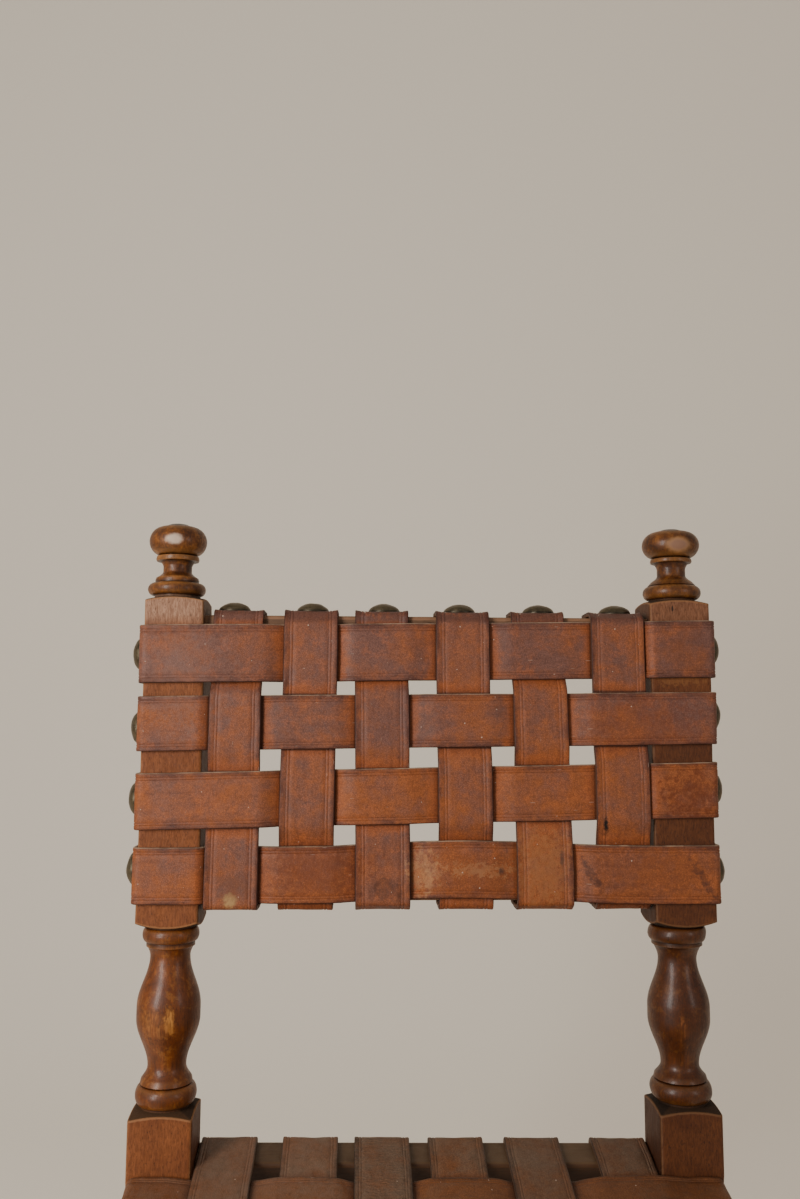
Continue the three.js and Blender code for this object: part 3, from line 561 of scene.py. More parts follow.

# %% [markdown]
# ## The finish of posts and legs
# On the turned parts the lacquer is thick and glossy, golden on the finials, amber below and
# nearly black in the grooves. On the square blocks it is rubbed thin, so their flat faces are
# dull, and pale at the top of the left post. Their inner sides are painted darker as shade, and
# the right side is painted darker towards the bottom, partly its own wood and partly painted
# shade. The turning code paints the masks for this on the mesh. Places that are bleached,
# stained or knocked are patches, and so is a painted highlight on the left finial: where, how
# far they reach, their turn, colour and share, how ragged they are, and how much the brush
# marks streak them.

# %% Lacquered post wood
MASK_NAMES = ("turned", "shoulder", "groove", "crest", "edge", "inner")
POST_PATCHES = [
    (back_spot(-POST_X - 8, 112), (13, 40, 9), 0, (0.40, 0.145, 0.030), 0.5, 0.6, 0.7),
    (back_spot(-POST_X + 5, 111), (4.5, 40, 11), 0, (0.58, 0.24, 0.050), 0.75, 0.5, 0.6),
    (back_spot(-POST_X - 4, 104), (14, 40, 6), 0, (0.38, 0.14, 0.040), 0.45, 0.6, 0.8),
    (back_spot(POST_X - 4, 102), (3, 40, 12), 0, (0.30, 0.095, 0.026), 0.55, 0.5, 0.9),
    (back_spot(-POST_X - 8, 372), (3, 20, 2.2), 0.3, (0.045, 0.018, 0.009), 0.85, 0.5, 0.0),
    (back_spot(POST_X - 6, 427), (1, 20, 3), 0, (0.012, 0.006, 0.004), 0.9, 0.3, 0.0),
    (back_spot(POST_X, 372), (24, 30, 6), 0, (0.27, 0.105, 0.030), 0.5, 1.6, 0.3),
    # The pale oval on the left finial ball is a bare facet painted pale as a highlight; the next two are a
    # bare facet on the right ball.
    (back_spot(-POST_X + 0.5, 479.4), (8, 16, 5), 0, (0.62, 0.45, 0.34), 0.95, 0.2, 0.0),
    (back_spot(POST_X + 0.3, 479.2), (11.8, 16, 7.4), 0, (0.52, 0.26, 0.10), 0.8, 0.15, 0.0),
    (back_spot(POST_X + 0.3, 479.2), (9.8, 16, 5.8), 0, (0.25, 0.130, 0.085), 0.9, 0.15, 0.0),
]


def make_lacquer(name, turn, patches):
    """Old lacquer on turned wood. The last number of a patch says how far brush marks streak it."""
    material, tree, shader, place = new_material(name)
    along = add_node(tree, "ShaderNodeMapping", place, None, turn)
    streaks, figure, pores = use_group(wood_grain, Place=along, Streak=1.2, Figure=20.0)
    tone = use_group(blotches, Place=place, Size=30.0)
    rubbed = use_group(blotches, Place=place, Size=9.0, Contrast=1.4)
    turned, shoulder, groove, crest, edge, inner = painted(tree, *MASK_NAMES)
    sideways, height_up = (add_node(tree, "ShaderNodeSeparateXYZ", place, out=axis) for axis in (0, 2))

    golden = blend(rubbed, (0.075, 0.020, 0.004), (0.28, 0.086, 0.014))
    amber = layered(
        blend(tone, (0.130, 0.029, 0.004), (0.255, 0.066, 0.010)),
        (smooth_range(height_up, 0.864, 0.872), golden),
        (figure * 0.25, (0.060, 0.018, 0.005)),
        (streaks * 0.45, (0.055, 0.016, 0.004)),
        (smooth_range(rubbed, 0.5, 0.0, 0, 0.4), (0.050, 0.014, 0.004)),
        (smooth_range(rubbed, 0.62, 1.0, 0, 0.25), (0.44, 0.17, 0.034)),
        (crest * 0.35, (0.40, 0.18, 0.050)),
        (groove * 0.85, (0.014, 0.006, 0.003)),
    )
    bleached = smooth_range(height_up, 0.842, 0.856) * smooth_range(sideways, 0.1, -0.1, 0.35, 1.0)
    face = layered(
        blend(tone, (0.170, 0.048, 0.014), (0.300, 0.093, 0.026)),
        (streaks * 0.6, (0.095, 0.025, 0.006)),
        (bleached, blend(streaks, (0.42, 0.222, 0.132), (0.24, 0.112, 0.062))),
        (shoulder * 0.85, (0.060, 0.034, 0.016)),
    )
    worn_edge = use_group(edge_wear, Place=place, Edge=edge, Amount=0.5, Grain=4.0)
    colour = layered(
        # On the inner faces of the blocks the colour is halved: painted shade.
        blend(turned, face * (inner * -0.5 + 1.0), amber),
        (pores * 0.6, (0.020, 0.008, 0.003)),
        (worn_edge * 0.6, (0.36, 0.160, 0.062)),
    )
    # The right side is painted darker, most of all low down: partly the right post's own darker wood, partly
    # painted shade where the window light falls off.
    right_side = smooth_range(height_up, 0.745, 0.85, 0.50, 0.82)
    colour = colour * smooth_range(sideways, -0.1, 0.1, 1.0, right_side)
    brushed = smooth_range(stretched(along, 1.6, 9.0, 3.0), 0.44, 0.60)
    colour, bare = patched(
        colour, place, patches, lambda share, streaky: brushed * (share * streaky) + share * (1 - streaky)
    )

    lacquered = (turned - bare).clamped()
    gloss = (rubbed - 0.5) * -0.10 + smooth_range(lacquered, 0, 1, 0.60, 0.42) + streaks * 0.06
    set_inputs(
        shader, Base_Color=colour, Roughness=gloss + shoulder * 0.25, Specular_IOR_Level=0.28,
        Coat_Weight=lacquered * 0.2, Coat_Roughness=0.22,
    )
    ripple = stretched(along, 7.0, 2.5, 2.0)
    bump(shader, ripple * 3.0 + pores * -0.6 + streaks * 0.5, 0.16)
    return material


UPRIGHT_GRAIN = (0, 0, 0)
ALONG_X = (0, math.pi / 2, 0)
ALONG_Y = (math.pi / 2, 0, 0)
post_wood = make_lacquer("post_wood_lacquer", UPRIGHT_GRAIN, POST_PATCHES)
stretcher_wood = make_lacquer("stretcher_lacquer", ALONG_X, [])
print("materials:", post_wood.name, stretcher_wood.name)

# %% [markdown]
# ## The finish of rails and stretchers
# Rails are plain sawn and planed wood with little finish. The same grain group is turned along
# each bar by a Mapping node, so one function makes the material for both directions.

# %% Rail wood
DUST = (0.135, 0.076, 0.036)


def make_rail_wood(name, turn, pale, dark):
    """Planed wood whose grain runs along the bar: turn brings the bar's length to Z."""
    material, tree, shader, place = new_material(name)
    along = add_node(tree, "ShaderNodeMapping", place, None, turn)
    streaks, _, pores = use_group(wood_grain, Place=along, Streak=1.8, Figure=24.0)
    tone = use_group(blotches, Place=place, Size=55.0)
    edge, upward = painted(tree, "edge", "upward")
    worn = use_group(edge_wear, Place=place, Edge=edge, Amount=0.4, Grain=9.0)
    settled = smooth_range(upward, 0.6, 1.0, 0.0, 0.8)
    colour = layered(
        blend(tone, dark, pale),
        (streaks * 0.5, tinted(dark, 0.55)),
        (pores * 0.7, (0.03, 0.015, 0.008)),
        (worn * 0.4, tinted(pale, 1.6)),
        (settled * smooth_range(tone, -0.6, 1.0), DUST),
    )
    gloss = smooth_range(tone, 0, 1, 0.62, 0.5)
    set_inputs(shader, Base_Color=colour, Roughness=gloss, Specular_IOR_Level=0.35)
    bump(shader, pores * -0.6 + streaks, 0.15)
    return material


back_rail_wood = make_rail_wood("back_rail_wood", ALONG_X, (0.26, 0.128, 0.066), (0.125, 0.060, 0.028))
# The seat's cross bars are painted darker than the other rails, partly as shade on the front of the rear
# rail under the seat.
cross_rail_wood = make_rail_wood("cross_rail_wood", ALONG_X, (0.070, 0.028, 0.009), (0.036, 0.014, 0.005))
side_rail_wood = make_rail_wood("side_rail_wood", ALONG_Y, (0.15, 0.055, 0.020), (0.080, 0.028, 0.010))
print("materials:", back_rail_wood.name, cross_rail_wood.name, side_rail_wood.name)

# %% [markdown]
# ## Leather
# The straps are thick vegetable-tanned leather, creased with two lines along each edge. The
# colour isn't even: it is brown with a dull bloom where hands and clothes have rubbed it, which
# partly stands for a painted sheen and is stronger towards the top, orange beside a crossing
# strap that has kept the light off, and nearly black at the burnished edges. Beside each
# crossing it is darkened by dirt and by painted shade, and the upper cut edges carry a painted
# highlight. The strap's mesh carries what the material needs: how far along and across a point
# lies, how far from the nearest cover, whether a crease is pressed there, and whether it is on
# the grain side.

# %% Grain of the leather
leather_grain, (place, pore, wrinkle), put = new_group(
    "leather_grain", {"Place": VECTOR, "Pore": 0.7, "Wrinkle": 0.0}, "Height", "Fibre", "Speckle"
)
pore_cells = leather_grain.nodes.new("ShaderNodeTexVoronoi")
pore_cells.feature = "DISTANCE_TO_EDGE"
set_inputs(pore_cells, Vector=place, Scale=1 / MM / pore)
pebble = smooth_range(Value(pore_cells.outputs["Distance"]), 0.0, 0.25)
fine = noise(place, 620.0, 5.0, 0.75)
ridges = smooth_range(noise(place * (1.0, 0.22, 1.0), 420.0, 3.0, 0.6, 0.8), 0.42, 0.6)
set_inputs(
    put,
    Height=ridges * wrinkle + (pebble * 0.35 + fine * 0.65),
    Fibre=noise(place, 170.0, 7.0, 0.72, 0.6),
    Speckle=pebble * 0.3 + fine,
)
print("group:", leather_grain.name)

# %% Edges of a strap
strap_edges, (across, wander), put = new_group(
    "strap_edges", {"Across": 0.0, "Wander": 0.0}, "Border", "Rim"
)
inset = HALF_STRAP - add_node(strap_edges, "ShaderNodeMath", across, operation="ABSOLUTE")
set_inputs(put, Border=smooth_range(inset + wander, 4.5, 0.2), Rim=smooth_range(inset, 0.9, 0.3))
print("group:", strap_edges.name)

# %% Leather of the back and of the seat
SLICE_STEP = 900.0
FLESH_ROUGHNESS = 0.85


def make_leather(name, bloom_and_sheen, bare, fresh, dark, flesh, raw_edge_highlight, patches, dullness):
    """Strap leather. The colours are those of worn leather with a painted sheen, bare, covered, dark for
    dirt and painted shade, under, and the cut edge with a painted highlight.
    """
    material, tree, shader, place = new_material(name)
    grain_side, strap_tone, open_by, along, across, pressed, wrinkle, lit_rim = painted(
        tree, "grain_side", "tone", "open_by", "along", "across", "pressed", "wrinkle", "lit_rim"
    )
    # Flat places on the strap itself. Straps of another tone read another slice of the noise.
    flat = add_node(tree, "ShaderNodeCombineXYZ", along, across, strap_tone * SLICE_STEP) * MM
    height_up = add_node(tree, "ShaderNodeSeparateXYZ", place, out=2)
    broad = use_group(blotches, Place=place, Size=50.0, Contrast=1.5)
    cloud = use_group(blotches, Place=flat, Size=28.0, Contrast=1.1)
    mottle = use_group(blotches, Place=flat, Size=11.0, Contrast=1.2)
    skin, fibre, speckle = use_group(leather_grain, Place=flat, Pore=1.25, Wrinkle=wrinkle)
    border, rim = use_group(strap_edges, Across=across, Wander=(cloud - 0.5) * 4.0)
    drawn = noise(flat * (0.2, 1.0, 1.0), 230.0, 5.0, 0.7, 0.5)

    # Higher up the colour leans to the bloom, which partly paints the sheen of the window on the upper
    # straps.
    age = (broad - 0.5) * 0.6 + strap_tone + smooth_range(height_up, 0.70, 0.84, 0.10, -0.20)
    age = ((cloud - 0.5) * 0.8 + age).clamped()
    over_the_top = smooth_range(height_up, 0.847, 0.853, 0.0, 0.8)
    cover = (smooth_range(cloud * -5.0 + open_by, 9.0, -2.0) - over_the_top).clamped()
    colour = layered(
        blend(age, bloom_and_sheen, bare),
        (cover * 0.85, fresh),
        (over_the_top, tinted(bloom_and_sheen, 0.75)),
        (smooth_range(drawn, 0.48, 0.75, 0.0, 0.36), dark),
        (smooth_range(fibre, 0.50, 0.78, 0.0, 0.2), dark),
        (smooth_range(mottle, 0.5, 1.0, 0, 0.18), tinted(fresh, 1.45)),
        (border * smooth_range(drawn, 0.34, 0.60, 0.15, 0.75), dark),
    ) * smooth_range(speckle, 0.35, 0.95, 0.72, 1.28)
    broken = smooth_range(noise(flat, 95.0, 3.0, 0.6), 0.36, 0.6, 0.03, 0.32)
    colour = blend(smooth_range(pressed, 0.35, 0.9) * broken, colour, tinted(dark, 0.7))
    colour, _ = patched(
        colour, place, patches, lambda share: smooth_range(fibre, 0.66, 0.40, 0.35 * share, share)
    )
    paint_spots = use_group(specks, Place=flat, Spacing=12.0, Size=0.62, Share=0.24)
    slanted = add_node(tree, "ShaderNodeMapping", flat, None, (0, 0, 0.9), (0.11, 1.0, 1.0))
    scratches = use_group(specks, Place=slanted, Spacing=3.6, Size=0.24, Share=0.07)
    # The upper cut edges of the straps marked lit_rim are painted pale as a highlight; the other rims stay
    # dark.
    pale_rim = lit_rim * smooth_range(across, 5.0, 15.0) * smooth_range(cloud, 0.2, 0.8, 0.35, 1.0)
    colour = layered(
        colour,
        # Beside each crossing the strap is darkened by dirt and painted shade: a wide soft band and a narrow
        # nearly black one.
        (smooth_range(cloud * -3.0 + open_by, 6.0, -1.5, 0.0, 0.42), dark),
        (smooth_range(open_by, 1.8, 0.2, 0.0, 0.7), tinted(dark, 0.3)),
        (combined("MAXIMUM", paint_spots * 0.7, scratches * 0.3), (0.62, 0.47, 0.36)),
        (rim * 0.8, blend(pale_rim, tinted(dark, 0.4), raw_edge_highlight)),
    )
    polish = smooth_range(cloud, 0, 1, dullness - 0.06, dullness + 0.08)
    set_inputs(
        shader, Base_Color=blend(grain_side, flesh, colour), Specular_IOR_Level=0.28,
        Roughness=(polish - FLESH_ROUGHNESS) * grain_side + FLESH_ROUGHNESS,
    )
    bump(shader, skin, 0.30)
    return material


FOLD_SLANT = math.radians(32)
back_patches = [
    (back_spot(-85, 221), (46, 20, 26), 0, (0.145, 0.034, 0.012), 0.65, 1.2),
    # The next four dark patches, at the right ends of the cross straps, are painted shade where the window
    # light falls off to the right.
    (back_spot(206, 391), (26, 20, 26), 0, (0.110, 0.036, 0.018), 0.4, 1.2),
    (back_spot(205, 277), (26, 20, 26), 0, (0.120, 0.024, 0.007), 0.75, 1.2),
    (back_spot(170, 334), (60, 20, 26), 0, (0.140, 0.032, 0.013), 0.4, 1.2),
    (back_spot(170, 219), (60, 20, 30), 0, (0.130, 0.034, 0.013), 0.45, 1.2),
    (back_spot(48, 214), (34, 20, 26), 0, (0.130, 0.034, 0.014), 0.45, 1.2),
    (back_spot(-190, 362), (40, 20, 65), 0, (0.240, 0.120, 0.088), 0.35, 1.2),
    (back_spot(-4, 222), (13, 20, 19), 0, (0.50, 0.235, 0.095), 0.55, 1.2),
    (back_spot(34, 222), (34, 20, 5), 0, (0.50, 0.24, 0.10), 0.35, 2.2),
    (back_spot(89, 224), (23, 20, 36), 0, (0.36, 0.140, 0.050), 0.5, 1.4),
    (back_spot(-152, 200), (6.2, 20, 7.2), 0, (0.48, 0.29, 0.11), 0.8, 0.6),
    (back_spot(-149, 211), (20, 20, 12), 0, (0.12, 0.045, 0.024), 0.45, 0.8),
    (back_spot(138, 257), (2.4, 20, 10), 0.1, (0.010, 0.006, 0.005), 1.0, 0.6),
    (back_spot(104, 231), (2.2, 20, 7), 0, (0.05, 0.035, 0.03), 0.6, 0.5),
    (back_spot(57, 221), (3, 20, 3), 0, (0.07, 0.030, 0.02), 0.8, 0.6),
    (back_spot(127, 219), (4, 20, 18), FOLD_SLANT, (0.07, 0.024, 0.014), 0.75, 0.8),
    (back_spot(214, 215), (4.4, 20, 20), FOLD_SLANT, (0.07, 0.024, 0.014), 0.7, 0.8),
    (back_spot(-30, 208), (20, 20, 10), 0, (0.06, 0.026, 0.018), 0.55, 1.2),
]
back_leather = make_leather(
    "back_leather",
    bloom_and_sheen=(0.168, 0.071, 0.050), bare=(0.300, 0.085, 0.024), fresh=(0.38, 0.098, 0.024),
    dark=(0.066, 0.020, 0.012), flesh=(0.26, 0.13, 0.070), raw_edge_highlight=(0.42, 0.29, 0.19),
    patches=back_patches, dullness=0.52,
)
seat_patches = [
    # Painted light on the left of the seat and painted shade on the right, from the window on the left.
    (seat_point(-150, 0, 450), (110, 200, 100), 0, (0.22, 0.125, 0.082), 0.4, 0.8),
    (seat_point(160, 0, 450), (130, 200, 100), 0, (0.065, 0.027, 0.014), 0.35, 0.8),
]
seat_leather = make_leather(
    "seat_leather",
    bloom_and_sheen=(0.158, 0.090, 0.053), bare=(0.185, 0.064, 0.021), fresh=(0.19, 0.064, 0.023),
    dark=(0.045, 0.022, 0.013), flesh=(0.22, 0.12, 0.070), raw_edge_highlight=(0.30, 0.19, 0.12),
    patches=seat_patches, dullness=0.55,
)
print("materials:", back_leather.name, seat_leather.name)

# %% [markdown]
# ## Antique bronze
# The nail heads are dark bronze with a green-brown skin, rubbed brighter on the crown. The crown
# mask comes from the nail's own mesh, so that each nail is bright where it stands highest.

# %% Bronze of the nails
nail_bronze, tree, shader, place = new_material("nail_bronze")
skin_tone = use_group(blotches, Place=place, Size=5.0, Contrast=1.4)
crown, rim = painted(tree, "crown", "rim")
crown_wear = use_group(edge_wear, Place=place, Edge=crown * 0.55, Amount=0.45, Grain=2.5)
bronze = layered(
    blend(skin_tone, (0.080, 0.060, 0.034), (0.15, 0.112, 0.062)),
    (crown_wear * 0.7, (0.26, 0.19, 0.11)),
    # The rim and the edge of the head are painted nearly black: painted shade under the head.
    (rim * 0.7, (0.020, 0.016, 0.012)),
)
set_inputs(
    shader, Base_Color=bronze, Metallic=crown_wear * 0.2 + 0.75,
    Roughness=smooth_range(skin_tone, 0, 1, 0.34, 0.52),
)
bump(shader, noise(place, 420.0, 4.0, 0.6), 0.25, 0.5)
print("material:", nail_bronze.name)

# %% [markdown]
# ## From arrays to pieces
# Every piece is a closed mesh made in code. Rings of points are skinned with four-sided faces,
# the ends are closed, and the masks for the material are stored as attributes on the points.

# %% Helpers for meshes
SMOOTH_ANGLE = math.radians(38)


def add_piece(name, mesh, nodes):
    """Puts a finished mesh in the scene as a piece that stands for its solids."""
    mesh.shade_smooth()
    mesh.set_sharp_from_angle(angle=SMOOTH_ANGLE)
    piece = put_in_scene(name, mesh)
    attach(piece, "root")
    if nodes:
        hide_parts(*nodes)
    return piece


def store(mesh, name, values):
    """Keeps one number or one vector for each point of a mesh."""
    values = np.asarray(values, dtype=np.float32)
    kind, key = ("FLOAT_VECTOR", "vector") if values.ndim == 2 else ("FLOAT", "value")
    mesh.attributes.new(name, kind, "POINT").data.foreach_set(key, values.ravel())


def face_outwards(mesh):
    shell = bmesh.new()
    shell.from_mesh(mesh)
    bmesh.ops.recalc_face_normals(shell, faces=shell.faces)
    if shell.calc_volume(signed=True) < 0:
        bmesh.ops.reverse_faces(shell, faces=shell.faces)
    shell.to_mesh(mesh)
    shell.free()


def skin_rings(name, rings, material):
    """A closed mesh over rings of points in millimetres, capped by a fan at each end."""
    rings = np.asarray(rings)
    count, sides = rings.shape[:2]
    points = rings.reshape(-1, 3)
    centres = [rings[0].mean(axis=0), rings[-1].mean(axis=0)]
    points = np.concatenate([points, centres]) * MM
    faces = []
    for ring in range(count - 1):
        for side in range(sides):
            after = (side + 1) % sides
            low, high = ring * sides, (ring + 1) * sides
            faces.append((low + side, low + after, high + after, high + side))
    low_pole, high_pole = count * sides, count * sides + 1
    top = (count - 1) * sides
    for side in range(sides):
        after = (side + 1) % sides
        faces.append((after, side, low_pole))
        faces.append((top + side, top + after, high_pole))
    mesh = bpy.data.meshes.new(name)
    mesh.from_pydata(points.tolist(), [], faces)
    face_outwards(mesh)
    mesh.materials.append(material)
    return mesh


print("mesh helpers are ready")

# %% [markdown]
# ## Turned posts and legs
# A turner puts a square blank in the lathe and cuts only where the shape is round. So at any
# height the piece reaches out either to the square or to the turned outline, and where the two
# meet the tool leaves a curved shoulder on each face of the block. The mesh follows the same
# rule: a ring of points round the axis, each at the smaller of the two reaches.

# %% A square with rounded corners, seen from the axis
CORNER_ROUND = 2.2
EDGE_LINE = 1.4
FLAT_STEPS = 14
CORNER_STEPS = 5


def blank_outline():
    """Points round the blank's section, in millimetres from its middle."""
    core = HALF_POST - CORNER_ROUND
    side_points = [(HALF_POST, y) for y in np.linspace(-core, core, FLAT_STEPS + 1)]
    for step in range(1, CORNER_STEPS):
        turn = math.pi / 2 * step / CORNER_STEPS
        side_points.append((core + CORNER_ROUND * math.cos(turn), core + CORNER_ROUND * math.sin(turn)))
    quarter = np.array(side_points)
    corners = np.arange(4) * math.pi / 2
    turns = [np.array([[math.cos(a), math.sin(a)], [-math.sin(a), math.cos(a)]]) for a in corners]
    return np.concatenate([quarter @ turn for turn in turns])


blank = blank_outline()
blank_reach = np.hypot(blank[:, 0], blank[:, 1])
blank_way = blank / blank_reach[:, None]
corner_distance = HALF_POST - np.abs(blank).min(axis=1)
corner_edge = np.exp(-((corner_distance / EDGE_LINE) ** 2))
print("points round a post:", len(blank))

# %% [markdown]
# The outlines are lists of cuts from the bottom up. A bead swells out and comes back, a sweep is
# an S-curve from one width to the next, a cove is a quarter round that stands upright at its
# narrow end, and a line is straight. Each cut names how far it reaches, as a share of half the
# blank, and where it ends, as a share of the turned length.

# %% The turned outlines
BALUSTER_CUTS = {
    "left": [
        ("line", 0.78, 0.02), ("bead", 0.97, 0.13), ("line", 0.83, 0.136), ("line", 0.80, 0.16),
        ("cove", 0.61, 0.228), ("sweep", 1.015, 0.49), ("line", 1.015, 0.55), ("sweep", 0.64, 0.825),
        ("cove", 0.73, 0.875), ("line", 0.78, 0.88), ("line", 0.78, 0.905), ("bead", 0.91, 0.985),
    ],
    "right": [
        ("line", 0.78, 0.02), ("bead", 0.99, 0.13), ("line", 0.85, 0.136), ("line", 0.82, 0.155),
        ("cove", 0.61, 0.215), ("sweep", 1, 0.47), ("line", 1, 0.53), ("sweep", 0.62, 0.80),
        ("cove", 0.76, 0.872), ("line", 0.82, 0.878), ("line", 0.82, 0.90), ("bead", 0.94, 0.985),
    ],
}
FINIAL_CUTS = {
    "left": [
        ("line", 0.76, 0.05), ("bead", 0.96, 0.215), ("line", 0.71, 0.22), ("line", 0.73, 0.25),
        ("line", 0.70, 0.285), ("cove", 0.475, 0.37), ("line", 0.475, 0.43), ("cove", 0.56, 0.50),
        ("line", 0.70, 0.51), ("line", 0.72, 0.53), ("line", 0.70, 0.57), ("line", 0.5, 0.58),
        ("bead", 0.96, 0.965), ("line", 0.3, 1),
    ],
    "right": [
        ("line", 0.76, 0.04), ("bead", 0.97, 0.225), ("line", 0.80, 0.232), ("line", 0.68, 0.285),
        ("cove", 0.475, 0.37), ("line", 0.475, 0.45), ("cove", 0.57, 0.53), ("line", 0.68, 0.54),
        ("line", 0.70, 0.56), ("line", 0.68, 0.59), ("line", 0.5, 0.60), ("bead", 0.965, 0.96),
        ("line", 0.3, 0.99),
    ],
}
FOOT_CUTS = [
    ("line", 0.6, 0), ("sweep", 0.88, 0.25), ("sweep", 0.55, 0.62), ("line", 0.8, 0.64),
    ("bead", 0.96, 0.84), ("line", 0.72, 0.85), ("line", 0.72, 0.97),
]
STRETCHER_CUTS = [
    ("line", 0.42, 0), ("line", 0.42, 0.05), ("bead", 0.6, 0.1), ("sweep", 0.68, 0.32),
    ("sweep", 0.44, 0.45), ("bead", 0.74, 0.55), ("sweep", 0.68, 0.68), ("sweep", 0.42, 0.9),
    ("bead", 0.6, 0.95), ("line", 0.42, 1),
]
BEAD_STEPS = 14
SWEEP_SPACING = 2.5


def cut_outline(cuts, base, length):
    """Rows of (reach, height) in millimetres along a turned outline."""
    rows = []
    last_reach, last_height = None, None
    for form, reach_share, height_share in cuts:
        reach, height = reach_share * HALF_POST, base + height_share * length
        if form == "bead":
            for step in range(1, BEAD_STEPS + 1):
                angle = (step / BEAD_STEPS - 0.5) * math.pi
                middle = (last_height + height) / 2
                out = last_reach + (reach - last_reach) * math.cos(angle)
                rows.append((out, middle + (height - middle) * math.sin(angle)))
            reach = last_reach
        elif form in ("sweep", "cove"):
            steps = max(5, round((height - last_height) / SWEEP_SPACING))
            for share in np.arange(1, steps + 1) / steps:
                if form == "sweep":
                    ease = (1 - math.cos(math.pi * share)) / 2
                elif reach < last_reach:
                    ease = math.sin(math.pi / 2 * share)
                else:
                    ease = 1 - math.cos(math.pi / 2 * share)
                rows.append((
                    last_reach + (reach - last_reach) * ease,
                    last_height + (height - last_height) * share,
                ))
        else:
            rows.append((reach, height))
        last_reach, last_height = reach, height
    return rows


print("rows in a baluster:", len(cut_outline(BALUSTER_CUTS["left"], 0, BALUSTER)))

# %% [markdown]
# The lathe leaves grooves dark with old polish and crests rubbed light. Both come from comparing
# the outline with a smoothed copy of itself: lower than the copy is a groove, higher is a crest.

# %% A turning is a list of rows
GROOVE_DEPTH = 1.1
GROOVE_SPREAD = 1.7
SHOULDER_STEPS = 8
FILLET = 0.9
NEAR_FILLET = 0.3 * FILLET
BLOCK_STEP = 7.0
NECK_SHARE = BALUSTER_CUTS["left"][0][1]
INNER_FADE = 1.5


def inner_face(side):
    """1 on the face of the blank that looks to the middle of the chair."""
    return np.clip((-side * blank[:, 0] - HALF_POST) / INNER_FADE + 1, 0, 1)


class Turning:
    """Rows of points up one post: how far out, how high, and what the finish is there."""

    def __init__(self, side):
        self.reaches, self.heights, self.masks = [], [], []
        self.inner = inner_face(side)

    def add(self, reach, height, turned=0.0, shoulder=0.0, groove=0.0, crest=0.0, edge=0.0):
        ones = np.ones(len(blank))
        self.reaches.append(reach * ones)
        self.heights.append(height * ones)
        self.masks.append([mask * ones for mask in (turned, shoulder, groove, crest, edge, self.inner)])

    def outline(self, rows):
        reach, height = np.array(rows).T
        distances = height[:, None] - height[None, :]
        weights = np.exp(-((distances / GROOVE_SPREAD) ** 2))
        smoothed = (weights * reach).sum(axis=1) / weights.sum(axis=1)
        lower = (smoothed - reach) / GROOVE_DEPTH
        for index in range(len(rows)):
            groove, crest = np.clip(lower[index], 0, 1), np.clip(-lower[index], 0, 1)
            self.add(reach[index], height[index], turned=1.0, groove=groove, crest=crest)

    def shoulder(self, level, side):
        """Rows from the neck out to the block. side is 1 where the turned part is above."""
        drop = LOW_SHOULDER_DROP if side > 0 else HIGH_SHOULDER_DROP
        neck, inner = HALF_POST * NECK_SHARE, blank_reach - FILLET
        rows = []
        for step in range(SHOULDER_STEPS + 1):
            reach = neck + (inner - neck) * step / SHOULDER_STEPS
            height = level - side * drop * ((reach / HALF_POST) ** 2 - 1)
            rows.append((reach, height, step / SHOULDER_STEPS))
        edge_height = rows[-1][1]
        near = (blank_reach - NEAR_FILLET, edge_height - side * NEAR_FILLET)
        block_edge = (blank_reach, edge_height - side * FILLET)
        if side > 0:
            self.add(*block_edge, edge=0.9)
            self.add(*near, edge=1.0, shoulder=0.5)
            rows.reverse()
        for reach, height, share in rows:
            near_neck = 1.0 - min(share * 3, 1)
            self.add(reach, height, shoulder=1.0, groove=near_neck, edge=0.6 * (share > 0.9))
        if side < 0:
            self.add(*near, edge=1.0, shoulder=0.5)
            self.add(*block_edge, edge=0.9)
        return block_edge[1]

    def block(self, low, high):
        """Rows up a square block from one edge to the other."""
        low, high = low + EDGE_LINE, high - EDGE_LINE
        steps = max(2, round(float(np.mean(high - low)) / BLOCK_STEP))
        for step in range(steps + 1):
            self.add(blank_reach, low + (high - low) * step / steps, edge=corner_edge)

    def block_below(self, low, level):
        """A block and the shoulder above it, under a turned part that starts at a level."""
        inner = blank_reach - FILLET
        self.block(low, level - (LOW_SHOULDER_DROP * ((inner / HALF_POST) ** 2 - 1) + FILLET))
        self.shoulder(level, 1)


print("a shoulder has", SHOULDER_STEPS, "rows")

# %% The back posts
SIDE_NAMES = {-1: "left", 1: "right"}
FOOT_EASE = 1.5
LEG_RING_STEP = 12
BEND_RING_STEP = 9
BACK_MIDDLE_HEIGHT = 390
TOP_SINK = {"left": 0.8, "right": 0}


def leg_middle(height):
    return np.interp(height, [0, KNEE_HEIGHT], [FOOT_KICK, 0])


def leg_depth(height):
    return np.interp(height, [0, KNEE_HEIGHT], [FOOT_DEPTH, POST_SIDE])


def rear_leg_rings():
    """Rings of the part below the bend, from the floor up, in the upright frame."""
    rings, masks = [], []
    heights = [0, FOOT_EASE, *np.arange(LEG_RING_STEP, KNEE_HEIGHT - LEG_RING_STEP / 2, LEG_RING_STEP)]
    heights += [*np.arange(KNEE_HEIGHT, BEND_HEIGHT - BEND_RING_STEP, BEND_RING_STEP)]
    for height in heights:
        shrink = 1 - FOOT_EASE / HALF_POST if height == 0 else 1
        depth = leg_middle(height) + blank[:, 1] * shrink * leg_depth(height) / POST_SIDE
        rings.append((blank[:, 0] * shrink, depth, height * np.ones(len(blank))))
        masks.append(corner_edge if height else np.ones(len(blank)))
    rings.append((blank[:, 0], blank[:, 1], BEND_HEIGHT - blank[:, 1] * math.tan(RAKE / 2)))
    masks.append(corner_edge)
    return rings, masks


